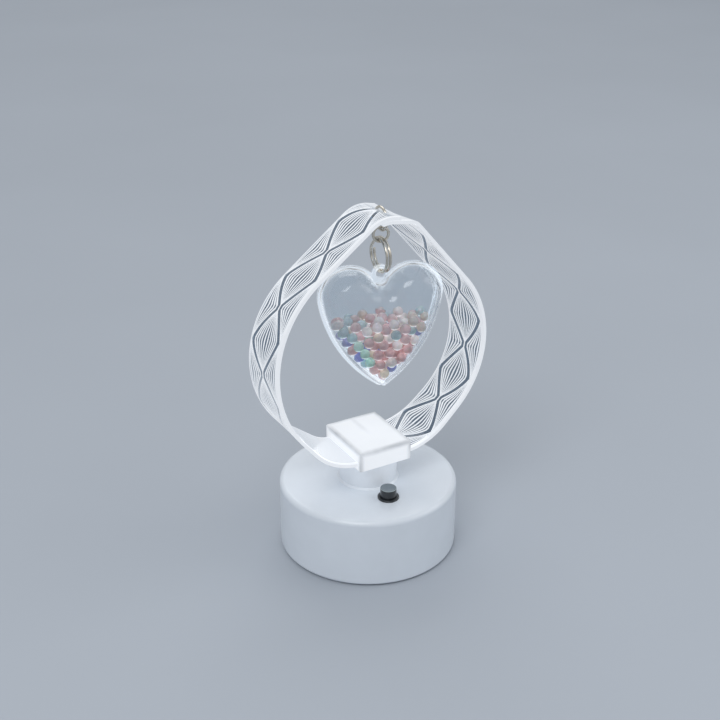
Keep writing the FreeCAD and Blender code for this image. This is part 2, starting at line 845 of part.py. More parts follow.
def right_track(size, shelf_angle, apex):
    """From the head out to the right, up the side and in under the left strip's end.

    The last long run touches the shoulder's circle and the knee's, and the knee leads to a
    short shelf and then to the lap, which has its centre in common with the apex.
    """
    track = Track(strip_start, strip_middle, 0)
    track.run(strip_straight_length)
    track.bend(size["exit_radius"], size["exit_angle"])
    track.run(size["lower_length"])
    track.bend(size["side_radius"], half_turn / 2 - size["exit_angle"])
    slope = math.radians(shelf_angle)
    outward = V(math.sin(slope), 0, math.cos(slope))
    along_shelf = V(math.cos(slope), 0, -math.sin(slope))
    shoulder_radius = size["shoulder_radius"]
    shoulder = track.place + track.left() * shoulder_radius
    knee = apex + outward * (lap_radius - knee_radius) + along_shelf * size["shelf_length"]
    reach = knee - shoulder
    extra = shoulder_radius - knee_radius
    lean = math.degrees(math.atan2(reach.z, reach.x) + math.asin(extra / reach.Length))
    track.bend(shoulder_radius, lean - half_turn / 2)
    track.run(math.sqrt(reach.Length ** 2 - extra ** 2))
    track.bend(knee_radius, half_turn - shelf_angle - lean)
    track.run(size["shelf_length"])
    track.bend(lap_radius, shelf_angle + lap_overrun_angle)
    return track


def lap_slots():
    """The two slots across the strips that the top ring passes through."""
    straight = slot_length - slot_width
    cuts = []
    for y in spread(2, slot_spacing):
        z = min(apex_front.z, apex_back.z) + apex_radius / 2
        tall = apex_radius + abs(apex_front.z - apex_back.z)
        middle = centred_box(slot_width, straight, tall, chain_x, y, z)
        ends = [cylinder(slot_width / 2, tall, chain_x, y + end, z) for end in spread(2, straight)]
        cuts.append(middle.fuse(ends))
    return cuts


def strip_solid(front, back, flip):
    """A strip between its front and back outlines, with peg holes and ring slots."""
    strip = Part.makeLoft([front.outline(-strip_width / 2), back.outline(strip_width / 2)], True, True)
    if flip:
        strip = mirrored(strip)
    for x, y in peg_places():
        hole = cylinder(peg_diameter / 2 + peg_gap, 4 * strip_thickness, x, y,
                        strip_middle - 2 * strip_thickness)
        strip = strip.cut(hole)
    for slot in lap_slots():
        strip = strip.cut(slot)
    return strip


def left_strip():
    return strip_solid(left_front_track, left_back_track, True)


def right_strip():
    front = right_track(right_front, front_shelf_angle, apex_front)
    back = right_track(right_back, back_shelf_angle, apex_back)
    return strip_solid(front, back, False)


# Rings

top_ring_radius = (top_ring_diameter - top_ring_wire_diameter) / 2
low_ring_radius = (low_ring_diameter - low_ring_wire_diameter) / 2
split_ring_radius = (split_ring_diameter - split_ring_wire_diameter) / 2
web_half = (slot_spacing - slot_length) / 2
lap_top = max(lap_height(chain_x + side * top_ring_wire_diameter / 2, end)
              for side in (-1, 1) for end in (-web_half, web_half))
top_ring_room = math.sqrt((top_ring_radius - top_ring_wire_diameter / 2) ** 2 - web_half ** 2)
top_ring_z = lap_top + ring_gap - top_ring_room
top_ring_foot = top_ring_z - top_ring_radius
wire_step = (top_ring_wire_diameter + low_ring_wire_diameter) / 2 + ring_gap
low_ring_z = top_ring_foot + wire_step - low_ring_radius
coil_half = split_ring_pitch / 2
coil_room = low_ring_radius - low_ring_wire_diameter / 2 - split_ring_wire_diameter / 2 - ring_gap
split_ring_z = low_ring_z - math.sqrt(coil_room ** 2 - coil_half ** 2) - split_ring_radius
split_ring_foot = split_ring_z - split_ring_radius
lug_room = lug_hole_diameter / 2 - split_ring_wire_diameter / 2 - lug_hang_gap
lug_z = split_ring_foot - math.sqrt(lug_room ** 2 - coil_half ** 2)


def hung(shape, turn):
    """Turn a shape that was built about the Z axis and put it under the apex."""
    shape.rotate(V(0, 0, 0), UP, turn)
    shape.translate(V(chain_x, 0, 0))
    return shape


def top_ring():
    """The ring through both strips, across them."""
    return Part.makeTorus(top_ring_radius, top_ring_wire_diameter / 2,
                          V(chain_x, 0, top_ring_z), V(1, 0, 0))


def low_ring():
    """The small round ring, which faces forward."""
    ring = Part.makeTorus(low_ring_radius, low_ring_wire_diameter / 2, V(0, 0, low_ring_z), V(0, 1, 0))
    return hung(ring, heart_turn_angle)


coil_step_end = full_turn - split_ring_end_angle
coil_step_start = coil_step_end - split_ring_step_angle
coil_end = coil_step_start + coil_step_end


def coil_stops():
    """Angles along the split ring where its arcs meet; the step lies between its two ends."""
    before = [coil_step_start * i / 4 for i in range(5)]
    after = [coil_step_end + (coil_end - coil_step_end) * i / 4 for i in range(5)]
    return before + after


def coil_point(angle):
    """A point of the split ring's middle line."""
    lead = (angle - coil_step_start) / split_ring_step_angle
    across = split_ring_pitch * (min(max(lead, 0.0), 1.0) - 0.5)
    y, z = polar(split_ring_radius, angle + split_ring_start_angle)
    return V(across, y, z + split_ring_z)


def coil_gap(path):
    """The least gap between the split ring's wire and its own other turn."""
    points = path.discretize(Number=coil_samples)
    skip = coil_samples // 6
    near = min(p.distanceToPoint(q) for i, p in enumerate(points) for q in points[i + skip:])
    return near - split_ring_wire_diameter


def split_ring():
    """Two turns of wire side by side, with a short step between them."""
    stops = coil_stops()
    edges = []
    for start, end in zip(stops, stops[1:]):
        edges.append(Part.Arc(coil_point(start), coil_point((start + end) / 2), coil_point(end)).toShape())
    path = Part.Wire(edges)
    print("split ring's least gap to itself", round(coil_gap(path), 3))
    tangent = edges[0].tangentAt(edges[0].FirstParameter)
    section = Part.Wire(Part.makeCircle(split_ring_wire_diameter / 2, coil_point(stops[0]), tangent))
    coil = path.makePipeShell([section], True, False)
    return hung(coil, split_ring_turn_angle)


# Heart, drawn in its own plane with the lug's hole at the origin

lobe = V(lobe_spacing / 2, 0, -lobe_drop_height)
side_turn = math.radians(side_angle)
lobe_mark = math.radians(lobe_mark_angle)
side_centre = lobe - V(math.cos(side_turn), 0, -math.sin(side_turn)) * (side_radius - lobe_radius)
notch_lift = math.sqrt((lobe_radius + notch_radius) ** 2 - lobe.x ** 2)
notch = V(0, 0, lobe.z + notch_lift)


def towards(centre, target, distance):
    """The point at a distance from centre on the way to target."""
    return centre + (target - centre).normalize() * distance


def heart_outline(inset, y):
    """The heart's outline, moved inward by inset, in the plane at y.

    It has six arcs: the notch, two lobes, two long sides and the tip.
    """
    radius = lobe_radius - inset
    tip = max(tip_radius - inset, least_tip_radius)
    side = side_radius - inset
    tip_drop = math.sqrt((side - tip) ** 2 - side_centre.x ** 2)
    tip_centre = V(0, 0, side_centre.z - tip_drop)
    notch_end = towards(lobe, notch, radius)
    notch_bottom = notch - V(0, 0, notch_radius + inset)
    lobe_end = towards(side_centre, lobe, side)
    lobe_top = lobe + V(math.cos(lobe_mark), 0, math.sin(lobe_mark)) * radius
    side_end = towards(side_centre, tip_centre, side)
    chord_middle = (lobe_end + side_end) * 0.5
    side_middle = towards(side_centre, chord_middle, side)
    tip_bottom = tip_centre - V(0, 0, tip)
    arcs = [
        Part.Arc(flipped(notch_end), notch_bottom, notch_end),
        Part.Arc(notch_end, lobe_top, lobe_end),
        Part.Arc(lobe_end, side_middle, side_end),
        Part.Arc(side_end, tip_bottom, flipped(side_end)),
        Part.Arc(flipped(side_end), flipped(side_middle), flipped(lobe_end)),
        Part.Arc(flipped(lobe_end), flipped(lobe_top), flipped(notch_end)),
    ]
    wire = Part.Wire([arc.toShape() for arc in arcs])
    wire.translate(V(0, y, 0))
    return wire


def dome(first_inset, depth, floor):
    """A heart-shaped dome from floor to depth on the -Y side, by way of four outlines."""
    outlines = []
    for angle in (0, 30, 60, 90):
        rise = math.sin(math.radians(angle))
        run = 1 - math.cos(math.radians(angle))
        inset = first_inset + dome_shoulder_width * run
        outlines.append(heart_outline(inset, -(floor + (depth - floor) * rise)))
    return Part.makeLoft(outlines, True, False)


def heart_half():
    """The front half: a rim, a dome with a hollow and half of the lug."""
    start = halves_gap / 2
    rim = Part.Face(heart_outline(0.0, -start)).extrude(V(0, start - rim_thickness, 0))
    half = rim.fuse(dome(rim_width, heart_depth, start))
    lug = Part.makeCylinder(lug_diameter / 2, lug_thickness - start, V(0, -lug_thickness, 0), V(0, 1, 0))
    stalk_height = -(notch.z - notch_radius) + rim_width
    stalk = Part.makeBox(lug_diameter, lug_thickness - start, stalk_height,
                         V(-lug_diameter / 2, -lug_thickness, -stalk_height))
    half = half.fuse([lug, stalk])
    half = half.cut(dome(rim_width + heart_wall_thickness, heart_depth - heart_wall_thickness, 0.0))
    hole_start = V(0, -lug_thickness * 3 / 2, 0)
    hole = Part.makeCylinder(lug_hole_diameter / 2, 2 * lug_thickness, hole_start, V(0, 1, 0))
    return half.cut(hole)


def hung_heart(shape):
    shape.translate(V(0, 0, lug_z))
    return hung(shape, heart_turn_angle)


def heart_front():
    return hung_heart(heart_half())


def heart_back():
    half = heart_half().mirror(V(0, 0, 0), V(0, 1, 0))
    return hung_heart(half)


# Beads: each lies where it comes to rest in the hollow or on the beads below it

bead_names = ("pink_beads", "pearl_beads", "teal_beads", "blue_beads", "green_beads", "beige_beads")
PINK, PEARL, TEAL, BLUE, GREEN, BEIGE = bead_names
top_mix = (PEARL, PINK, BEIGE, PINK, TEAL, PEARL, PINK, BEIGE, PEARL, PINK, TEAL)
side_mix = (PEARL, BLUE, GREEN, PEARL, TEAL, GREEN, PINK)
low_mix = (PINK, PINK, PINK, PEARL, PINK, PINK, PINK, BEIGE, PINK, PINK, BLUE)


def bead_inset(depth):
    """How far a bead's middle stays in from the heart's outline, at a depth from the parting.

    The hollow's cut is a quarter of an ellipse, and the bead's middle is on its offset.
    """
    reach = bead_diameter / 2 + bead_gap
    deep = heart_depth - heart_wall_thickness
    low = 0.0
    high = math.pi / 2
    for _ in range(bead_inset_steps):
        angle = (low + high) / 2
        norm = math.hypot(dome_shoulder_width * math.sin(angle), deep * math.cos(angle))
        if math.sin(angle) * (deep - reach * dome_shoulder_width / norm) < abs(depth):
            low = angle
        else:
            high = angle
    shoulder = dome_shoulder_width * (1 - math.cos(angle)) + reach * deep * math.cos(angle) / norm
    return rim_width + heart_wall_thickness + shoulder


def bead_surface(x, depth):
    """How high the middle of a bead on top of the pile may lie."""
    return -bead_level_depth + bead_hump_height * math.sin(x / bead_hump_length + depth / bead_hump_width)


def bead_spots():
    """Places in the plan of the hollow, each with how low a bead's middle can sink there."""
    spots = []
    deepest = heart_depth - heart_wall_thickness - bead_diameter / 2 - bead_gap
    rows = int(deepest / bead_grid_spacing)
    columns = int(lobe_spacing / bead_grid_spacing)
    for row in range(-rows, rows + 1):
        depth = row * bead_grid_spacing
        room = side_radius - bead_inset(depth)
        for column in range(-columns, columns + 1):
            x = column * bead_grid_spacing
            across = abs(x) - side_centre.x
            if across < room:
                floor = side_centre.z - math.sqrt(room ** 2 - across ** 2)
                spots.append([floor, x, depth, bead_surface(x, depth)])
    return spots


def bead_places():
    """Middles of the beads: the next bead always takes the lowest place that is left."""
    step = bead_diameter + bead_gap
    spots = bead_spots()
    places = []
    while spots:
        rest, x, depth, _ = min(spots)
        places.append(V(x, depth, rest))
        left = []
        for spot in spots:
            near = (spot[1] - x) ** 2 + (spot[2] - depth) ** 2
            if near < step ** 2:
                spot[0] = max(spot[0], rest + math.sqrt(step ** 2 - near))
            if spot[0] < spot[3]:
                left.append(spot)
        spots = left
    return places


def bead_colour(number, place):
    """Mixed colours on top and down the left side, and mostly pink below."""
    if place.z > bead_surface(place.x, place.y) - bead_diameter:
        return top_mix[number % len(top_mix)]
    if place.x < -bead_diameter:
        return side_mix[number % len(side_mix)]
    return low_mix[number % len(low_mix)]


def bead_groups():
    """One compound of spheres for each colour."""
    groups = {name: [] for name in bead_names}
    for number, place in enumerate(bead_places()):
        ball = Part.makeSphere(bead_diameter / 2, place)
        groups[bead_colour(number, place)].append(ball)
    return {name: hung_heart(Part.makeCompound(balls)) for name, balls in groups.items()}


# Wires

def bay_wire_places():
    """Where a wire leaves the bay through its roof: the plus end and the minus end."""
    x = bay_length / 2 - seat_gap - contact_thickness / 2 - wire_diameter / 2
    first_y = cell_places()[0][0]
    last_y = cell_places()[-1][0]
    return [(x, last_y), (-x, first_y)]


contact_top = cell_middle + contact_height / 2
cable_level = bay_top + 3 * wire_diameter + wire_bend_radius


def plus_wire():
    """From the plus contact, over the bay, to the switch."""
    x, y = bay_wire_places()[0]
    tag_x, tag_y = switch_tag_places()[1]
    tag_z = can_bottom - switch_tag_length
    drop = tag_z - 2 * wire_bend_radius
    corner_y = tag_y - switch_tag_width / 2 + wire_diameter
    return wire_along([
        V(x, y, contact_top + seat_gap),
        V(x, y, bay_top + 3 * wire_bend_radius),
        V(x, -bay_width / 2, bay_top + 3 * wire_bend_radius),
        V(tag_x + 4 * wire_bend_radius, corner_y, drop),
        V(tag_x, corner_y, drop),
        V(tag_x, corner_y, tag_z - seat_gap),
    ])


def switch_wire():
    """From the switch, over the bay and up to the board."""
    tag_x, tag_y = switch_tag_places()[0]
    level = can_bottom - switch_tag_length / 2
    start = V(tag_x, tag_y + switch_tag_width / 2 + seat_gap, level)
    x = -cable_spacing / 2
    return wire_along([start, V(x, 0, level), V(x, 0, board_bottom - seat_gap)])


def minus_wire():
    """From the minus contact up to the board."""
    x, y = bay_wire_places()[1]
    cable_x = cable_spacing / 2
    return wire_along([
        V(x, y, contact_top + seat_gap),
        V(x, y, cable_level - wire_bend_radius),
        V(-6 * wire_bend_radius, 4 * wire_bend_radius, cable_level),
        V(cable_x, 0, cable_level),
        V(cable_x, 0, board_bottom - seat_gap),
    ])


def save(name, shape):
    """Write one node and print what it holds."""
    shape.exportStep(os.path.join("parts", name + ".step"))
    print(name, len(shape.Solids), round(shape.Volume, 1), shape.isValid())


def build():
    """Make every piece and write each to its own file."""
    os.makedirs("parts", exist_ok=True)
    pieces = [base_shell, base_plate, battery_door, battery_door_screw, contact_plates, contact_leaves,
              plate_screws, rubber_feet, switch_bezel, switch_button, switch_nut, switch_body, switch_tags,
              neck, neck_screws, head_tray, head_cover, head_screws, light_board, lights, resistors,
              left_strip, right_strip, top_ring, low_ring, split_ring, heart_front, heart_back,
              plus_wire, minus_wire, switch_wire]
    for piece in pieces:
        save(piece.__name__, piece())
    for place, (y, way) in zip(("left", "middle", "right"), cell_places()):
        save("battery_" + place, battery(y, way))
    for name, beads in bead_groups().items():
        save(name, beads)


build()
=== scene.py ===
"""Looks for the heart table lamp, laid out as a Blender add-on and run as a script."""

import math

import bpy
import numpy as np
from bpy.props import FloatProperty, FloatVectorProperty, IntProperty, PointerProperty
from bpy.types import Operator, Panel, PropertyGroup
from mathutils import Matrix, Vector


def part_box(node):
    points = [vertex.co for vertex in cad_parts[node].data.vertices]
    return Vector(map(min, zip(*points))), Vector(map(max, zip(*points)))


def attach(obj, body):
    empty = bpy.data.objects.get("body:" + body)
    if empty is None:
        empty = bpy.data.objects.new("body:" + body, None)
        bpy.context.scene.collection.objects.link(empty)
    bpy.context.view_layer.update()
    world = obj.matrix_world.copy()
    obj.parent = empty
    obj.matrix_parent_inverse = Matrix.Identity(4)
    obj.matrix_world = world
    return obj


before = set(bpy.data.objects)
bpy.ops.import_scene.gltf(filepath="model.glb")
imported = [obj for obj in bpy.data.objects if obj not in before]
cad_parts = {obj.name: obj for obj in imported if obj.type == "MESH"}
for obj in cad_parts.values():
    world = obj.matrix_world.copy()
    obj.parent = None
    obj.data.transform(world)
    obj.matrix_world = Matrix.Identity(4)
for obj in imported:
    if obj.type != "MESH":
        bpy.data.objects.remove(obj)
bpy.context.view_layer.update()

bl_info = {
    "name": "Heart table lamp",
    "version": (1, 0, 0),
    "blender": (4, 5, 0),
    "location": "View3D > Sidebar > Lamp",
    "description": "Looks of a small table lamp with a clear heart in a loop of light strips",
    "category": "Object",
}

MM = 0.001

# The heart hangs from the chain, turned about a plumb line, in metres and radians
CHAIN_X = 0.0064
HEART_TURN = math.radians(-17)

# Paths of the strips, in mm and degrees: runs are (None, length), bends (radius, turn).
# They are the ones that the strips were bent to, from the head to the strip's end.
STRIP_START = (9.15, 53.0)
STRAIGHT = 3.0
APEX_RADIUS = 15.0
KNEE_RADIUS = 6.0
LAP_RADIUS = 13.3
LAP_OVERRUN = 16.0
SHELF_SLOPE = {"front": 8.6, "back": 12.0}
APEX = {"front": (2.56, 158.2), "back": (4.87, 156.2)}
LEFT_PATH = {
    "front": {"exit_radius": 31.0, "exit_turn": 50.4, "lower_run": 9.5, "side_radius": 55.0,
              "rise_angle": 36.9, "upper_run": 32.9, "tail": 3.2},
    "back": {"exit_radius": 19.0, "exit_turn": 36.7, "lower_run": 13.3, "side_radius": 50.0,
             "rise_angle": 37.7, "upper_run": 38.6, "tail": 3.7},
}
RIGHT_PATH = {
    "front": {"exit_radius": 32.0, "exit_turn": 44.8, "lower_run": 10.3, "side_radius": 49.7,
              "shoulder_radius": 48.7, "shelf": 9.5},
    "back": {"exit_radius": 37.4, "exit_turn": 40.8, "lower_run": 6.2, "side_radius": 45.0,
             "shoulder_radius": 48.2, "shelf": 4.3},
}

# Engraving, in mm where it is a length: how it starts, how strands share a leaf's width,
# and how wide the slits between them open half way along a leaf
PLAIN_START = 2.0
TRIANGLE_SHARE = 0.65
SINE_SHARE = 0.35
LEAF_SPREAD = 0.85
HALF_SPREAD = 0.9
LEAF_FILL = 1.02
LEAF_SLIT = 0.58
LEAF_SLIT_LOSS = 0.30
HALF_SLIT = 0.50
HALF_SLIT_LOSS = 0.2
LEAST_SHARE = 0.02
LEAST_ROOM = 0.05
STRAND_CUT = ((-1, -1.0), (-0.55, 1.0), (0.55, 1.0), (1, -1.0))

# Light in the strips, between these heights in metres: how strong it is low down and high up
STRIP_FOOT = 0.055
STRIP_TOP = 0.175
SHEET_LIGHT = (0.55, 0.52)
LINE_LIGHT = (0.55, 0.57)

# Where the left strip is milky near the head and where both are at the lap, in metres
HEAD_MILK_TOP = 0.112
HEAD_MILK_SIDE = (-0.002, 0.012)
HEAD_MILK = 0.8
LAP_MILK_SIDE = (0.002, 0.007)
LAP_MILK_HEIGHT = (0.160, 0.168)
LAP_MILK = 0.75

# The camera and the lamps of the stage: name, place, size in metres and power in watts
CAMERA_PLACE = (-0.25935, -0.44471, 0.34556)
CAMERA_AIM = (-0.003393, 0.001944, 0.099134)
LAMP_AIM = (0, 0, 0.09)
SOFT_LAMPS = (
    ("key light", (-0.7, -0.6, 1.1), 0.8, 6.5),
    ("fill light", (0.9, -0.5, 0.7), 0.9, 2.6),
    ("ceiling light", (0.6, 1.5, 2.2), 2.0, 16.0),
)
ROOM_LIGHT = 0.56


def linear(code):
    """An sRGB hex code as linear colour."""
    parts = np.array([int(code[k:k + 2], 16) for k in (1, 3, 5)]) / 255
    parts = np.where(parts <= 0.04045, parts / 12.92, ((parts + 0.055) / 1.055) ** 2.4)
    return (*parts.tolist(), 1.0)


# Property groups

class StripSizes(PropertyGroup):
    width: FloatProperty(name="Width", description="Width of a light strip", default=0.030,
                         unit="LENGTH")
    thickness: FloatProperty(name="Thickness", description="Thickness of a light strip",
                             default=0.0016, unit="LENGTH")
    front_margin: FloatProperty(name="Front margin", default=0.0024, unit="LENGTH",
                                description="Bright plain border along the front edge")
    back_margin: FloatProperty(name="Back margin", default=0.0010, unit="LENGTH",
                               description="Bright plain border along the back edge")
    wave_gap: FloatProperty(name="Wave gap", default=0.0022, unit="LENGTH",
                            description="Width of the clear wavy bands between the leaves")
    neck_width: FloatProperty(name="Leaf neck", default=0.0009, unit="LENGTH",
                              description="Width of a leaf where it meets the next one")
    line_rise: FloatProperty(name="Line rise", default=0.00008, unit="LENGTH",
                             description="How proud the burr of an engraved strand stands")
    left_cell: FloatProperty(name="Left cell", default=0.0324, unit="LENGTH",
                             description="Length of one leaf along the left strip")
    left_first: FloatProperty(name="Left first node", default=0.0105, unit="LENGTH",
                              description="Where the left strip's first crossing lies")
    right_cell: FloatProperty(name="Right cell", default=0.0314, unit="LENGTH",
                              description="Length of one leaf along the right strip")
    right_first: FloatProperty(name="Right first node", default=0.0052, unit="LENGTH",
                               description="Where the right strip's first crossing lies")
    left_end: FloatProperty(name="Left plain end", default=0.0060, unit="LENGTH",
                            description="Plain length at the left strip's end, with the slots")
    right_end: FloatProperty(name="Right plain end", default=0.0090, unit="LENGTH",
                             description="Plain length at the right strip's end, with the slots")
    leaf_strands: IntProperty(name="Strands in a leaf", default=10, min=4,
                              description="Engraved strands across a whole leaf, an even number")
    half_strands: IntProperty(name="Strands in a half leaf", default=5, min=2,
                              description="Engraved strands across a half leaf at a margin")
    steps: IntProperty(name="Steps", default=22, min=6,
                       description="How many short lengths each strand is made of")


class LampColours(PropertyGroup):
    plastic: FloatVectorProperty(name="White plastic", subtype="COLOR", size=3,
                                 default=linear("#DCE3EB")[:3],
                                 description="Moulded base, cover and neck")
    glow: FloatVectorProperty(name="Light", subtype="COLOR", size=3,
                              default=linear("#F3F5F8")[:3],
                              description="Cool light from the head, in the strips and heart")
    lit_body: FloatVectorProperty(name="Lit plastic", subtype="COLOR", size=3,
                                  default=linear("#ABB0B6")[:3],
                                  description="White plastic of the head, before its light")
    smoke: FloatVectorProperty(name="Clear strip", subtype="COLOR", size=3,
                               default=linear("#8696A6")[:3],
                               description="Smoky tint of the clear strips")
    black: FloatVectorProperty(name="Black plastic", subtype="COLOR", size=3,
                               default=linear("#171C21")[:3],
                               description="Push switch and its bezel")
    wire: FloatVectorProperty(name="Ring wire", subtype="COLOR", size=3,
                              default=linear("#DAD4C8")[:3],
                              description="Nickel plated wire of the rings")
    pink: FloatVectorProperty(name="Pink beads", subtype="COLOR", size=3,
                              default=linear("#C79F9F")[:3], description="Pink pearl beads")
    pearl: FloatVectorProperty(name="Pearl beads", subtype="COLOR", size=3,
                               default=linear("#DAD3D0")[:3], description="White pearl beads")
    teal: FloatVectorProperty(name="Teal beads", subtype="COLOR", size=3,
                              default=linear("#8EB2B8")[:3], description="Teal pearl beads")
    blue: FloatVectorProperty(name="Blue beads", subtype="COLOR", size=3,
                              default=linear("#6E78B6")[:3], description="Violet blue beads")
    green: FloatVectorProperty(name="Green beads", subtype="COLOR", size=3,
                               default=linear("#A0C4B8")[:3], description="Sea green beads")
    beige: FloatVectorProperty(name="Beige beads", subtype="COLOR", size=3,
                               default=linear("#C2B3A1")[:3], description="Beige pearl beads")
    mist: FloatVectorProperty(name="Bead mist", subtype="COLOR", size=3,
                              default=linear("#D4CED2")[:3],
                              description="Pale glaze that the upper beads tend to")


class StageSizes(PropertyGroup):
    floor_size: FloatProperty(name="Floor", default=14.0, unit="LENGTH",
                              description="Side of the square floor")
    lens: FloatProperty(name="Lens", default=60.0, unit="CAMERA",
                        description="Focal length of the camera")


# Small tools for meshes

def mesh_piece(name, points, faces, smooth=True):
    """A new mesh object at the origin from whole arrays of points and four-cornered faces.

    A closed mesh whose signed volume, the sum of p0 . (p1 x p2) / 6 over its triangles, is
    below zero has its faces turned round, so that they face outward.
    """
    points = np.asarray(points, dtype=np.float32).reshape(-1, 3)
    faces = np.asarray(faces, dtype=np.int32)
    a, b, c, d = (points[faces[:, k]].astype(float) for k in range(4))
    volume = np.einsum("ij,ij->", a, np.cross(b, c) + np.cross(c, d))
    if volume < 0:
        faces = faces[:, ::-1]
    mesh = bpy.data.meshes.new(name)
    mesh.vertices.add(len(points))
    mesh.vertices.foreach_set("co", points.ravel())
    mesh.loops.add(faces.size)
    mesh.loops.foreach_set("vertex_index", faces.ravel())
    mesh.polygons.add(len(faces))
    mesh.polygons.foreach_set("loop_start", np.arange(0, faces.size, 4, dtype=np.int32))
    mesh.polygons.foreach_set("use_smooth", np.full(len(faces), smooth))
    mesh.update(calc_edges=True)
    mesh.validate()
    piece = bpy.data.objects.new(name, mesh)
    bpy.context.scene.collection.objects.link(piece)
    return piece


def ridge_faces(count, steps):
    """Faces of many closed four-sided ridges at once, each with steps rings and two ends."""
    ridge = np.arange(count)[:, None, None] * steps * 4
    along = np.arange(steps - 1)[None, :, None] * 4
    corner = np.arange(4)[None, None, :]
    a = ridge + along + corner
    b = ridge + along + (corner + 1) % 4
    sides = np.stack([a, b, b + 4, a + 4], axis=-1).reshape(-1, 4)
    first = ridge[:, 0] + np.array([3, 2, 1, 0])
    last = ridge[:, 0] + (steps - 1) * 4 + np.arange(4)
    return np.concatenate([sides, first, last])


# Strips: where a point of a strip lies

def follow(pieces, samples=80):
    """Points and headings along runs and left-hand bends, in the XZ plane, in mm.

    A run is p + t L (cos h, sin h). A bend is c - r n(h + t turn), where n is the unit
    vector to the left of the heading and c = p + r n(h).
    """
    share = np.linspace(0, 1, samples)
    place = np.array(STRIP_START)
    heading = 0.0
    points = []
    headings = []
    for radius, amount in pieces:
        if radius is None:
            way = np.radians(heading)
            points.append(place + np.outer(share * amount, [np.cos(way), np.sin(way)]))
            headings.append(np.full(samples, heading))
        else:
            side = np.radians(heading + 90)
            centre = place + radius * np.array([np.cos(side), np.sin(side)])
            turned = heading + share * amount
            side = np.radians(turned + 90)
            points.append(centre - radius * np.stack([np.cos(side), np.sin(side)], axis=1))
            headings.append(turned)
            heading += amount
        place = points[-1][-1]
    return np.concatenate(points), np.concatenate(headings)


def left_pieces(size, slope):
    """The left strip's runs and bends: out, up the side, over the apex and a short tail."""
    return [(None, STRAIGHT), (size["exit_radius"], size["exit_turn"]),
            (None, size["lower_run"]),
            (size["side_radius"], 180 - size["exit_turn"] - size["rise_angle"]),
            (None, size["upper_run"]), (APEX_RADIUS, size["rise_angle"] + slope),
            (None, size["tail"])]


def right_pieces(size, slope, apex):
    """The right strip's runs and bends: up the side, round the shoulder, in over the knee.

    The long run touches the shoulder's circle and the knee's, so its lean is the angle of
    the line between their centres plus asin((R - r) / distance).
    """
    first = [(None, STRAIGHT), (size["exit_radius"], size["exit_turn"]),
             (None, size["lower_run"]), (size["side_radius"], 90 - size["exit_turn"])]
    place = follow(first)[0][-1]
    radius = size["shoulder_radius"]
    down = math.radians(slope)
    outward = np.array([math.sin(down), math.cos(down)])
    along = np.array([math.cos(down), -math.sin(down)])
    knee = np.array(apex) + outward * (LAP_RADIUS - KNEE_RADIUS) + along * size["shelf"]
    reach = knee - (place + [-radius, 0])
    extra = radius - KNEE_RADIUS
    distance = float(np.hypot(*reach))
    lean = math.degrees(math.atan2(reach[1], reach[0]) + math.asin(extra / distance))
    return first + [(radius, lean - 90), (None, math.sqrt(distance ** 2 - extra ** 2)),
                    (KNEE_RADIUS, 180 - slope - lean), (None, size["shelf"]),
                    (LAP_RADIUS, slope + LAP_OVERRUN)]


class StripShape:
    """A strip's middle surface: a straight rule between its front and its back path."""

    def __init__(self, front, back, flip):
        (self.front, front_heading), (self.back, back_heading) = follow(front), follow(back)
        self.front_out = self.outward(front_heading)
        self.back_out = self.outward(back_heading)
        middle = (self.front + self.back) / 2
        steps = np.hypot(*np.diff(middle, axis=0).T)
        self.along = np.concatenate([[0], np.cumsum(steps)])
        self.length = self.along[-1]
        self.flip = -1 if flip else 1

    def outward(self, heading):
        """Unit vectors to the right of the headings, which is the loop's outer side."""
        side = np.radians(heading - 90)
        return np.stack([np.cos(side), np.sin(side)], axis=1)

    def at(self, along, across, lift):
        """Points in metres at a distance along, a place across and a lift off the middle.

        P = (1 - w) F(s) + w B(s) + lift n(s, w), with w = across / width + 1/2 and n the
        same mix of the outward normals of the two paths.
        """
        width = bpy.context.scene.strip_sizes.width / MM
        share = across / width + 0.5
        keep = np.stack([np.interp(along, self.along, part) for part in self.front.T], -1)
        far = np.stack([np.interp(along, self.along, part) for part in self.back.T], -1)
        keep_out = np.stack([np.interp(along, self.along, part) for part in self.front_out.T], -1)
        far_out = np.stack([np.interp(along, self.along, part) for part in self.back_out.T], -1)
        share = share[..., None]
        flat = keep * (1 - share) + far * share
        normal = keep_out * (1 - share) + far_out * share
        normal = normal / np.linalg.norm(normal, axis=-1, keepdims=True)
        flat = flat + normal * np.asarray(lift)[..., None]
        return np.stack([flat[..., 0] * self.flip, across, flat[..., 1]], axis=-1) * MM


def strip_shape(side):
    """The middle surface of the left or the right strip."""
    if side == "left":
        rows = [left_pieces(LEFT_PATH[edge], SHELF_SLOPE[edge]) for edge in ("front", "back")]
        return StripShape(rows[0], rows[1], True)
    rows = [right_pieces(RIGHT_PATH[edge], SHELF_SLOPE[edge], APEX[edge])
            for edge in ("front", "back")]
    return StripShape(rows[0], rows[1], False)


def wave(t):
    """How far the wavy bands lie from the middle, 0 at a crossing and 1 half way between.

    It is a share of a triangle wave and the rest of |sin(pi t)|, so its tops are a little
    pointed.
    """
    triangle = 1 - np.abs(2 * t - 1)
    return TRIANGLE_SHARE * triangle + SINE_SHARE * np.abs(np.sin(np.pi * t))


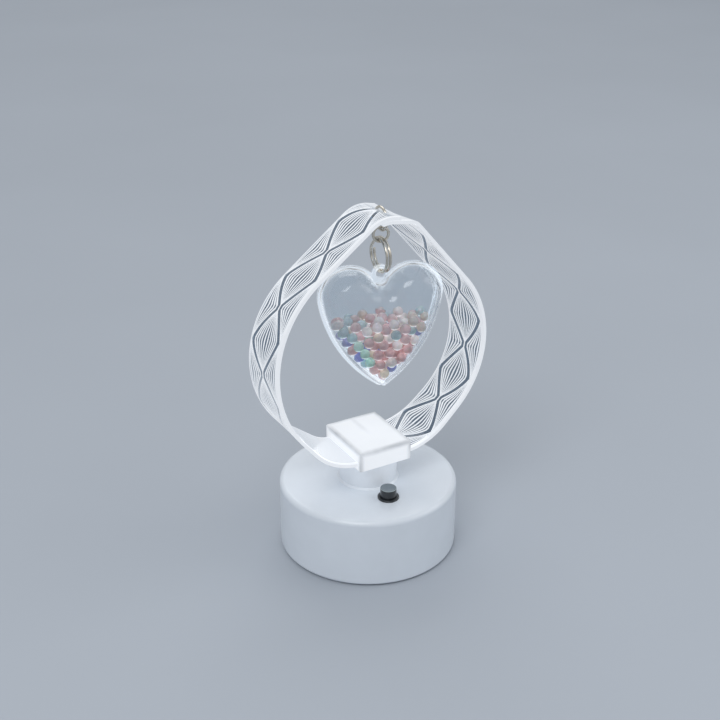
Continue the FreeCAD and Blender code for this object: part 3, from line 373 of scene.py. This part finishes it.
def leaf_strands(sizes, cell, first, start, end):
    """Every engraved strand of one strip: its place along and across, and its half width.

    Over a cell, t runs 0 to 1. A whole leaf reaches a(t) = (r - g) wave(t) - g to each side,
    where r is the reach to the margin and g half the clear band. Strand k lies between
    b_k a(t) and b_(k+1) a(t) and fills all of it at the crossings and least in mid leaf, so
    dark slits open between the strands. A half leaf fills what is left out to the margin.
    """
    gap = sizes.wave_gap / MM / 2
    neck = sizes.neck_width / MM / 2
    half_width = sizes.width / MM / 2
    reach = {-1: half_width - sizes.front_margin / MM, 1: half_width - sizes.back_margin / MM}
    cells = np.arange(-1, math.ceil(end / cell) + 1)[:, None]
    share = np.linspace(0, 1, sizes.steps)
    rows = []
    for offset in (0.0, -0.5):
        low_t = np.clip((start - first) / cell - cells, offset, offset + 1)
        high_t = np.clip((end - first) / cell - cells, offset, offset + 1)
        kept = (high_t - low_t)[:, 0] > LEAST_SHARE
        t = (low_t + (high_t - low_t) * share)[kept]
        place = first + (t + cells[kept]) * cell
        if offset == 0.0:
            bounds = np.linspace(-1, 1, sizes.leaf_strands + 1)
            bounds = np.sign(bounds) * np.abs(bounds) ** LEAF_SPREAD
            for low, high in zip(bounds, bounds[1:]):
                side = -1 if low + high < 0 else 1
                room = np.maximum((reach[side] - gap) * wave(t) - gap, neck)
                middle = (low + high) / 2
                slit = LEAF_SLIT - LEAF_SLIT_LOSS * abs(middle)
                fill = LEAF_FILL - slit * np.sin(np.pi * t)
                rows.append((place, middle * room, (high - low) / 2 * room * fill))
        else:
            bounds = np.linspace(0, 1, sizes.half_strands + 1) ** HALF_SPREAD
            for side in (-1, 1):
                room = reach[side] - (reach[side] - gap) * wave(t % 1) - gap
                room = np.maximum(room, LEAST_ROOM)
                for low, high in zip(bounds, bounds[1:]):
                    middle = (low + high) / 2
                    slit = HALF_SLIT - HALF_SLIT_LOSS * middle
                    fill = 1.0 - slit * np.cos(np.pi * t)
                    across = side * (reach[side] - middle * room)
                    rows.append((place, across, (high - low) / 2 * room * fill))
    along, across, half = (np.concatenate([row[k] for row in rows]) for k in range(3))
    return along, across, half


def engraving(side):
    """All engraved strands of one strip as one mesh of low closed ridges.

    Each ridge's cut has four points: its foot lies inside the plastic and its back stands
    proud of the face. The left strip has them on its outer face and the right one on its
    inner face, as if both were cut from one sheet that is engraved on one side.
    """
    sizes = bpy.context.scene.strip_sizes
    shape = strip_shape(side)
    left = side == "left"
    cell = (sizes.left_cell if left else sizes.right_cell) / MM
    first = (sizes.left_first if left else sizes.right_first) / MM
    end = shape.length - (sizes.left_end if left else sizes.right_end) / MM
    along, across, half = leaf_strands(sizes, cell, first, STRAIGHT + PLAIN_START, end)
    face = sizes.thickness / MM / 2 * (1 if left else -1)
    rise = sizes.line_rise / MM * (1 if left else -1)
    way = np.stack([np.gradient(along, axis=1), np.gradient(across, axis=1)], axis=-1)
    way = way / np.maximum(np.linalg.norm(way, axis=-1, keepdims=True), 1e-9)
    cut = np.array(STRAND_CUT)
    shift = half[..., None] * cut[:, 0]
    s = along[..., None] - way[..., 1, None] * shift
    v = across[..., None] + way[..., 0, None] * shift
    points = shape.at(s, v, face + rise * np.broadcast_to(cut[:, 1], s.shape))
    return mesh_piece(side + "_engraving", points, ridge_faces(*s.shape[:2]))


# Materials

def add(tree, kind, settings=None, inputs=None, links=None):
    """Adds one node with its settings, socket values and links from other nodes' outputs."""
    made = tree.nodes.new(kind)
    for key, value in (settings or {}).items():
        setattr(made, key, value)
    for key, value in (inputs or {}).items():
        made.inputs[key].default_value = value
    for key, source in (links or {}).items():
        tree.links.new(source, made.inputs[key])
    return made


def new_material(name):
    """An empty node material with its output and the places on the surface."""
    material = bpy.data.materials.new(name)
    material.use_nodes = True
    tree = material.node_tree
    tree.nodes.clear()
    out = tree.nodes.new("ShaderNodeOutputMaterial")
    place = tree.nodes.new("ShaderNodeTexCoord")
    return material, tree, out, place


def two_tone(tree, place, colour, spread, scale, detail=3.0, low=0.35, high=0.65):
    """A soft cloudy mix of a colour's darker and lighter shade; scale is patches per metre."""
    noise = add(tree, "ShaderNodeTexNoise", None, {"Scale": scale, "Detail": detail},
                {"Vector": place.outputs["Object"]})
    ramp = add(tree, "ShaderNodeValToRGB", None, None, {"Fac": noise.outputs["Fac"]})
    tones = ((low, 1 - spread), (high, 1 + spread))
    for stop, (position, share) in zip(ramp.color_ramp.elements, tones):
        stop.position = position
        stop.color = (*(min(part * share, 1.0) for part in colour[:3]), 1.0)
    return ramp.outputs["Color"]


def fine_bump(tree, place, scale, distance, strength=0.4, detail=2.0):
    """A fine even bump; scale is grains per metre and distance is in metres."""
    noise = add(tree, "ShaderNodeTexNoise", None, {"Scale": scale, "Detail": detail},
                {"Vector": place.outputs["Object"]})
    bump = add(tree, "ShaderNodeBump", None, {"Strength": strength, "Distance": distance},
               {"Height": noise.outputs["Fac"]})
    return bump.outputs["Normal"]


def moulded_plastic(name, colour, roughness=0.38, spread=0.03, coat=0.0):
    """Injection-moulded plastic: even colour with faint flow clouds and a fine grain."""
    material, tree, out, place = new_material(name)
    shader = add(tree, "ShaderNodeBsdfPrincipled", None,
                 {"Roughness": roughness, "IOR": 1.49, "Coat Weight": coat,
                  "Coat Roughness": 0.18},
                 {"Base Color": two_tone(tree, place, colour, spread, 90),
                  "Normal": fine_bump(tree, place, 2500, 0.00003)})
    tree.links.new(shader.outputs["BSDF"], out.inputs["Surface"])
    return material


def neck_plastic(name, colour):
    """The base's plastic, with the head's light in it, more of it higher up."""
    colours = bpy.context.scene.lamp_colours
    low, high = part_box("neck")
    material, tree, out, place = new_material(name)
    shader = add(tree, "ShaderNodeBsdfPrincipled", None,
                 {"Roughness": 0.3, "IOR": 1.49, "Coat Weight": 0.3, "Coat Roughness": 0.18,
                  "Emission Color": (*colours.glow, 1.0)},
                 {"Base Color": two_tone(tree, place, colour, 0.012, 90),
                  "Emission Strength": share_along(tree, place, "Z", low.z, high.z, 0.04, 0.24),
                  "Normal": fine_bump(tree, place, 2500, 0.00003)})
    tree.links.new(shader.outputs["BSDF"], out.inputs["Surface"])
    return material


def plain_metal(name, colour, roughness=0.25):
    """Plated or drawn metal: faint drawing marks and small changes of polish."""
    material, tree, out, place = new_material(name)
    noise = add(tree, "ShaderNodeTexNoise", None, {"Scale": 700, "Detail": 3.0},
                {"Vector": place.outputs["Object"]})
    polish = add(tree, "ShaderNodeMapRange", None,
                 {"To Min": roughness * 0.7, "To Max": roughness * 1.4},
                 {"Value": noise.outputs["Fac"]})
    shader = add(tree, "ShaderNodeBsdfPrincipled", None, {"Metallic": 1.0},
                 {"Base Color": two_tone(tree, place, colour, 0.14, 260),
                  "Roughness": polish.outputs["Result"],
                  "Normal": fine_bump(tree, place, 900, 0.00002)})
    tree.links.new(shader.outputs["BSDF"], out.inputs["Surface"])
    return material


def paper(name, colour):
    """Matt studio paper: one even pale colour with hardly any cloud."""
    material, tree, out, place = new_material(name)
    shader = add(tree, "ShaderNodeBsdfPrincipled", None, {"Roughness": 0.95},
                 {"Base Color": two_tone(tree, place, colour, 0.015, 3)})
    tree.links.new(shader.outputs["BSDF"], out.inputs["Surface"])
    return material


def share_along(tree, place, axis, low, high, at_low=0.0, at_high=1.0):
    """One value at one place along an axis and another further on, in metres, object space."""
    parts = add(tree, "ShaderNodeSeparateXYZ", None, None, {"Vector": place.outputs["Object"]})
    share = add(tree, "ShaderNodeMapRange", None,
                {"From Min": low, "From Max": high, "To Min": at_low, "To Max": at_high},
                {"Value": parts.outputs[axis]})
    return share.outputs["Result"]


def sum_up(tree, operation, first, second):
    """One step of arithmetic between outputs or plain numbers."""
    made = tree.nodes.new("ShaderNodeMath")
    made.operation = operation
    for socket, value in zip(made.inputs, (first, second)):
        if isinstance(value, (int, float)):
            socket.default_value = value
        else:
            tree.links.new(value, socket)
    return made.outputs["Value"]


def lit_plastic(name, strength):
    """White diffusing plastic with lamps behind it, as even as the real block looks.

    Near its edges, where two walls meet, painted shade darkens it in soft patches. The distance
    to the nearest edge is the middle one of the distances to the top, to the side and to the end.
    The rib between the two rows of diodes throws a faint line on the rear half of the top.
    The walls get more of the inner light than the top, which the room lights too.
    """
    colours = bpy.context.scene.lamp_colours
    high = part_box("head_cover")[1]
    material, tree, out, place = new_material(name)
    parts = add(tree, "ShaderNodeSeparateXYZ", None, None, {"Vector": place.outputs["Object"]})
    side = sum_up(tree, "SUBTRACT", high.x, sum_up(tree, "ABSOLUTE", parts.outputs["X"], 0))
    end = sum_up(tree, "SUBTRACT", high.y, sum_up(tree, "ABSOLUTE", parts.outputs["Y"], 0))
    top = sum_up(tree, "SUBTRACT", high.z, parts.outputs["Z"])
    less = sum_up(tree, "MINIMUM", side, end)
    more = sum_up(tree, "MAXIMUM", side, end)
    middle = sum_up(tree, "MAXIMUM", less, sum_up(tree, "MINIMUM", more, top))
    patches = add(tree, "ShaderNodeTexNoise", None, {"Scale": 110, "Detail": 1.0},
                  {"Vector": place.outputs["Object"]})
    # Painted shade: the glow is dimmed in soft patches near the edges where two walls meet.
    edge_shade = add(tree, "ShaderNodeMapRange", {"interpolation_type": "SMOOTHSTEP"},
               {"From Min": 0.0, "From Max": 0.003, "To Min": 0.95, "To Max": 0.0},
               {"Value": middle})
    edge_shade = sum_up(tree, "MULTIPLY", edge_shade.outputs["Result"], patches.outputs["Fac"])
    rib = add(tree, "ShaderNodeMapRange", {"interpolation_type": "SMOOTHSTEP"},
              {"From Min": 0.0, "From Max": 0.0022, "To Min": 0.2, "To Max": 0.0},
              {"Value": sum_up(tree, "ABSOLUTE", parts.outputs["X"], 0)})
    rib = sum_up(tree, "MULTIPLY", rib.outputs["Result"],
                 share_along(tree, place, "Y", -0.003, 0.006))
    shade = sum_up(tree, "SUBTRACT", 1.0, sum_up(tree, "MAXIMUM", edge_shade, rib))
    heading = add(tree, "ShaderNodeSeparateXYZ", None, None, {"Vector": place.outputs["Normal"]})
    wall = add(tree, "ShaderNodeMapRange", None,
               {"From Min": 0.0, "From Max": 0.9, "To Min": 1.16, "To Max": 1.0},
               {"Value": heading.outputs["Z"]})
    shade = sum_up(tree, "MULTIPLY", shade, wall.outputs["Result"])
    shader = add(tree, "ShaderNodeBsdfPrincipled", None,
                 {"Roughness": 0.35, "IOR": 1.49, "Emission Color": (*colours.glow, 1.0)},
                 {"Base Color": two_tone(tree, place, colours.lit_body, 0.04, 60),
                  "Emission Strength": sum_up(tree, "MULTIPLY", shade, strength),
                  "Normal": fine_bump(tree, place, 1800, 0.00002)})
    tree.links.new(shader.outputs["BSDF"], out.inputs["Surface"])
    return material


def clear_strip_material(name):
    """Smoky clear acrylic sheet lit from its end: the sheet is see-through, and its sawn
    edges and the plain borders beside them are white with light. So are the left strip near
    the head and the lap at the top."""
    sizes = bpy.context.scene.strip_sizes
    colours = bpy.context.scene.lamp_colours
    material, tree, out, place = new_material(name)
    front_line = sizes.front_margin - sizes.width / 2
    back_line = sizes.width / 2 - sizes.back_margin
    soft = 0.00015
    front = share_along(tree, place, "Y", front_line - soft, front_line + soft, 1.0, 0.0)
    back = share_along(tree, place, "Y", back_line - soft, back_line + soft)
    low_down = share_along(tree, place, "Z", STRIP_FOOT, HEAD_MILK_TOP, HEAD_MILK, 0.0)
    near = sum_up(tree, "MULTIPLY", low_down,
                  share_along(tree, place, "X", *HEAD_MILK_SIDE, 1.0, 0.0))
    aside = share_along(tree, place, "X", *LAP_MILK_SIDE, 0.0, LAP_MILK)
    lap = sum_up(tree, "MULTIPLY", aside, share_along(tree, place, "Z", *LAP_MILK_HEIGHT))
    milk = sum_up(tree, "MAXIMUM", sum_up(tree, "MAXIMUM", front, back),
                  sum_up(tree, "MAXIMUM", near, lap))
    tint = add(tree, "ShaderNodeMix", {"data_type": "RGBA"}, None, {"Factor": milk})
    tint.inputs["A"].default_value = (*colours.smoke, 1.0)
    tint.inputs["B"].default_value = (*colours.lit_body, 1.0)
    light = share_along(tree, place, "Z", STRIP_FOOT, STRIP_TOP, *SHEET_LIGHT)
    shader = add(tree, "ShaderNodeBsdfPrincipled", None,
                 {"Roughness": 0.04, "IOR": 1.49, "Emission Color": (*colours.glow, 1.0)},
                 {"Base Color": tint.outputs["Result"],
                  "Transmission Weight": sum_up(tree, "SUBTRACT", 1.0, milk),
                  "Emission Strength": sum_up(tree, "MULTIPLY", milk, light)})
    tree.links.new(shader.outputs["BSDF"], out.inputs["Surface"])
    return material


def engraved_line_material(name):
    """Frosted white of a laser-cut strand, which scatters the light out of the sheet."""
    colours = bpy.context.scene.lamp_colours
    material, tree, out, place = new_material(name)
    light = share_along(tree, place, "Z", STRIP_FOOT, STRIP_TOP, *LINE_LIGHT)
    shader = add(tree, "ShaderNodeBsdfPrincipled", None,
                 {"Roughness": 0.6, "IOR": 1.49, "Emission Color": (*colours.glow, 1.0)},
                 {"Base Color": two_tone(tree, place, colours.lit_body, 0.08, 400),
                  "Emission Strength": light,
                  "Normal": fine_bump(tree, place, 6000, 0.00002)})
    tree.links.new(shader.outputs["BSDF"], out.inputs["Surface"])
    return material


def clear_heart_material(name):
    """Clear moulded polystyrene with faint flow marks. Seen edge-on it shows the lamp's
    light that runs inside it, painted as a glow at grazing angles. The flange where the halves
    meet has a painted whitish glow all the way round, and the lamp below lights the tip, painted
    as a milky glow. A thin real shell hardly bends the view, so the body bends it less than its
    gloss would, and the coat keeps the gloss."""
    colours = bpy.context.scene.lamp_colours
    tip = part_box("heart_front")[0].z
    material, tree, out, place = new_material(name)
    grazing = add(tree, "ShaderNodeLayerWeight", None, {"Blend": 0.35})
    # Painted glow: white emission at grazing angles stands for the lamp's light seen along the
    # shell.
    rim = add(tree, "ShaderNodeMapRange", {"interpolation_type": "SMOOTHSTEP"},
              {"From Min": 0.45, "From Max": 0.95, "To Min": 0.0, "To Max": 0.22},
              {"Value": grazing.outputs["Facing"]})
    facing = (-math.sin(HEART_TURN), math.cos(HEART_TURN), 0.0)
    depth = add(tree, "ShaderNodeVectorMath", {"operation": "DOT_PRODUCT"}, {1: facing},
                {0: place.outputs["Object"]})
    depth = sum_up(tree, "ABSOLUTE", sum_up(tree, "SUBTRACT", depth.outputs["Value"],
                                            CHAIN_X * facing[0]), 0)
    # Painted glow: a whitish band at the flange where the halves meet, and a fainter one at the
    # tip, lit from below.
    flange = add(tree, "ShaderNodeMapRange", {"interpolation_type": "SMOOTHSTEP"},
                 {"From Min": 0.0009, "From Max": 0.0021, "To Min": 0.11, "To Max": 0.0},
                 {"Value": depth})
    glow = sum_up(tree, "MAXIMUM", flange.outputs["Result"],
                  share_along(tree, place, "Z", tip, tip + 0.018, 0.08, 0.0))
    shader = add(tree, "ShaderNodeBsdfPrincipled", None,
                 {"Base Color": linear("#F6FAFD"), "Roughness": 0.03, "IOR": 1.25,
                  "Coat Weight": 0.45, "Coat Roughness": 0.03, "Coat IOR": 1.49,
                  "Transmission Weight": 1.0, "Emission Color": (*colours.glow, 1.0)},
                 {"Normal": fine_bump(tree, place, 160, 0.0001, 0.08),
                  "Emission Strength": sum_up(tree, "ADD", rim.outputs["Result"], glow)})
    tree.links.new(shader.outputs["BSDF"], out.inputs["Surface"])
    return material


def pearl(name, colour):
    """Pearly bead: milky and glossy, each a little different. Light comes through it, and
    it is brightest low down, where the lamp below lights it. The upper half of the pile has
    the paler beads."""
    glow = bpy.context.scene.lamp_colours.glow
    mist = bpy.context.scene.lamp_colours.mist
    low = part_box("pink_beads")[0].z
    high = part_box("pink_beads")[1].z
    material, tree, out, place = new_material(name)
    parts = add(tree, "ShaderNodeSeparateXYZ", None, None, {"Vector": place.outputs["Normal"]})
    under = add(tree, "ShaderNodeMapRange", {"interpolation_type": "SMOOTHSTEP"},
                {"From Min": -0.3, "From Max": -0.8}, {"Value": parts.outputs["Z"]})
    paler = add(tree, "ShaderNodeMix", {"data_type": "RGBA"}, None,
                {"Factor": share_along(tree, place, "Z", (low + high) / 2, high, 0.0, 0.5),
                 "A": two_tone(tree, place, colour, 0.16, 150, 1.0, 0.42, 0.58)})
    paler.inputs["B"].default_value = (*mist, 1.0)
    shade = paler.outputs["Result"]
    light = add(tree, "ShaderNodeMix", {"data_type": "RGBA"}, None,
                {"Factor": under.outputs["Result"], "A": shade})
    light.inputs["B"].default_value = (*glow, 1.0)
    strength = sum_up(tree, "ADD", 0.14, sum_up(tree, "MULTIPLY", under.outputs["Result"], 0.75))
    shader = add(tree, "ShaderNodeBsdfPrincipled", None,
                 {"Roughness": 0.22, "IOR": 1.52, "Coat Weight": 0.5, "Coat Roughness": 0.08,
                  "Subsurface Weight": 0.25, "Subsurface Scale": 0.002},
                 {"Base Color": shade, "Emission Color": light.outputs["Result"],
                  "Emission Strength": strength})
    tree.links.new(shader.outputs["BSDF"], out.inputs["Surface"])
    return material


def switch_cap(name, colour):
    """Glossy black cap with a painted reflection: its dished top is painted a little paler,
    with a painted highlight as the palest line on its lip.
    """
    material, tree, out, place = new_material(name)
    parts = add(tree, "ShaderNodeSeparateXYZ", None, None, {"Vector": place.outputs["Normal"]})
    # Painted reflection: faces turned up are paler grey, palest on the sloping lip, as the gloss
    # would mirror the light above.
    lip = add(tree, "ShaderNodeMapRange", None, {"From Min": 0.25, "From Max": 0.5},
              {"Value": parts.outputs["Z"]})
    dish = add(tree, "ShaderNodeMapRange", None, {"From Min": 0.85, "From Max": 0.97},
               {"Value": parts.outputs["Z"]})
    pale = add(tree, "ShaderNodeMix", {"data_type": "RGBA"}, None,
               {"Factor": dish.outputs["Result"]})
    pale.inputs["A"].default_value = linear("#96A3A7")
    pale.inputs["B"].default_value = linear("#66727A")
    shade = add(tree, "ShaderNodeMix", {"data_type": "RGBA"}, None,
                {"Factor": lip.outputs["Result"], "A": two_tone(tree, place, colour, 0.1, 400),
                 "B": pale.outputs["Result"]})
    shader = add(tree, "ShaderNodeBsdfPrincipled", None,
                 {"Roughness": 0.26, "IOR": 1.49, "Coat Weight": 0.4, "Coat Roughness": 0.1},
                 {"Base Color": shade.outputs["Result"],
                  "Normal": fine_bump(tree, place, 2500, 0.00002)})
    tree.links.new(shader.outputs["BSDF"], out.inputs["Surface"])
    return material


def give(material, *names):
    """Puts a material in every slot of the named CAD nodes."""
    for name in names:
        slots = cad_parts[name].material_slots
        for slot in slots:
            slot.material = material


# Operators

class LAMP_OT_strips(Operator):
    """Engraves both light strips and lights their edges"""

    bl_idname = "lamp.strips"
    bl_label = "Light strips"

    def execute(self, context):
        give(clear_strip_material("clear acrylic strip"), "left_strip", "right_strip")
        line = engraved_line_material("engraved line")
        for side in ("left", "right"):
            piece = engraving(side)
            piece.data.materials.append(line)
            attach(piece, "lamp")
        return {"FINISHED"}


class LAMP_OT_housing(Operator):
    """Finishes the base, the neck and the glowing head"""

    bl_idname = "lamp.housing"
    bl_label = "Housing"

    def execute(self, context):
        colours = context.scene.lamp_colours
        give(moulded_plastic("white moulded plastic", colours.plastic, 0.26, 0.012, 0.3),
             "base_shell", "base_plate", "battery_door")
        give(neck_plastic("lit neck plastic", colours.plastic), "neck")
        give(lit_plastic("lit diffuser", 0.52), "head_tray", "head_cover")
        give(moulded_plastic("black switch plastic", colours.black, 0.30, 0.1, 0.4),
             "switch_bezel", "switch_body")
        give(switch_cap("black switch cap", colours.black), "switch_button")
        give(moulded_plastic("foot rubber", linear("#2F3235"), 0.8, 0.08), "rubber_feet")
        return {"FINISHED"}


class LAMP_OT_chain(Operator):
    """Finishes the three rings"""

    bl_idname = "lamp.chain"
    bl_label = "Rings"

    def execute(self, context):
        give(plain_metal("nickel plated wire", context.scene.lamp_colours.wire, 0.22),
             "top_ring", "low_ring", "split_ring", "switch_nut")
        return {"FINISHED"}


class LAMP_OT_heart(Operator):
    """Finishes the clear heart and its beads"""

    bl_idname = "lamp.heart"
    bl_label = "Heart and beads"

    def execute(self, context):
        give(clear_heart_material("clear heart plastic"), "heart_front", "heart_back")
        for colour in ("pink", "pearl", "teal", "blue", "green", "beige"):
            shade = getattr(context.scene.lamp_colours, colour)
            give(pearl(colour + " bead glaze", shade), colour + "_beads")
        return {"FINISHED"}


class LAMP_OT_inside(Operator):
    """Finishes the parts inside the base and the head"""

    bl_idname = "lamp.inside"
    bl_label = "Inside parts"

    def execute(self, context):
        give(plain_metal("zinc plated screw", linear("#BBBEC0"), 0.3),
             "battery_door_screw", "plate_screws", "neck_screws", "head_screws")
        give(plain_metal("nickel plated spring steel", linear("#C9CACB"), 0.28),
             "contact_plates", "contact_leaves")
        give(plain_metal("brass tag", linear("#C2A05A"), 0.3), "switch_tags")
        give(moulded_plastic("red wire sleeve", linear("#AE2422"), 0.45, 0.08), "plus_wire")
        give(moulded_plastic("black wire sleeve", linear("#202023"), 0.45, 0.1), "minus_wire")
        give(moulded_plastic("yellow wire sleeve", linear("#D1AC2E"), 0.45, 0.08), "switch_wire")
        give(moulded_plastic("white circuit board", linear("#DFE3DE"), 0.5), "light_board")
        give(lit_plastic("lit diode", 0.9), "lights")
        give(moulded_plastic("resistor body", linear("#242628"), 0.5, 0.1), "resistors")
        give(moulded_plastic("cell sleeve", linear("#46515C"), 0.35, 0.08),
             "battery_left", "battery_middle", "battery_right")
        return {"FINISHED"}


class LAMP_OT_stage(Operator):
    """Adds the floor, the soft lamps, the sky light and the camera"""

    bl_idname = "lamp.stage"
    bl_label = "Stage"

    def execute(self, context):
        sizes = context.scene.stage_sizes
        half = sizes.floor_size / 2
        floor = mesh_piece("floor", [(-half, -half, 0), (half, -half, 0), (half, half, 0),
                                     (-half, half, 0)], [(0, 1, 2, 3)], False)
        floor.data.materials.append(paper("pale paper floor", linear("#ADB4BD")))
        world = bpy.data.worlds.new("soft room")
        world.use_nodes = True
        background = world.node_tree.nodes["Background"]
        background.inputs["Color"].default_value = linear("#F2F5F9")
        background.inputs["Strength"].default_value = ROOM_LIGHT
        context.scene.world = world
        for name, place, size, power in SOFT_LAMPS:
            soft_lamp(name, place, size, power)
        data = bpy.data.cameras.new("camera")
        data.lens = sizes.lens
        data.sensor_width = 36.0
        data.clip_start = 0.01
        camera = bpy.data.objects.new("camera", data)
        context.scene.collection.objects.link(camera)
        camera.location = CAMERA_PLACE
        aim = Vector(CAMERA_AIM) - camera.location
        camera.rotation_euler = aim.to_track_quat("-Z", "Y").to_euler()
        context.scene.camera = camera
        context.scene.view_settings.view_transform = "Standard"
        return {"FINISHED"}


def soft_lamp(name, place, size, power):
    """A square soft lamp that faces the middle of the object."""
    data = bpy.data.lights.new(name, "AREA")
    data.size = size
    data.energy = power
    lamp = bpy.data.objects.new(name, data)
    bpy.context.scene.collection.objects.link(lamp)
    lamp.location = place
    aim = Vector(LAMP_AIM) - lamp.location
    lamp.rotation_euler = aim.to_track_quat("-Z", "Y").to_euler()


OPERATORS = (LAMP_OT_strips, LAMP_OT_housing, LAMP_OT_chain, LAMP_OT_heart, LAMP_OT_inside,
             LAMP_OT_stage)


class LAMP_PT_panel(Panel):
    bl_label = "Heart table lamp"
    bl_space_type = "VIEW_3D"
    bl_region_type = "UI"
    bl_category = "Lamp"

    def draw(self, context):
        for operator in OPERATORS:
            self.layout.operator(operator.bl_idname)


CLASSES = (StripSizes, LampColours, StageSizes) + OPERATORS + (LAMP_PT_panel,)


def register():
    for cls in CLASSES:
        bpy.utils.register_class(cls)
    bpy.types.Scene.strip_sizes = PointerProperty(type=StripSizes)
    bpy.types.Scene.lamp_colours = PointerProperty(type=LampColours)
    bpy.types.Scene.stage_sizes = PointerProperty(type=StageSizes)


def unregister():
    del bpy.types.Scene.stage_sizes
    del bpy.types.Scene.lamp_colours
    del bpy.types.Scene.strip_sizes
    for cls in reversed(CLASSES):
        bpy.utils.unregister_class(cls)


def main():
    register()
    bpy.ops.lamp.strips()
    bpy.ops.lamp.housing()
    bpy.ops.lamp.chain()
    bpy.ops.lamp.heart()
    bpy.ops.lamp.inside()
    bpy.ops.lamp.stage()


if __name__ == "__main__":
    main()
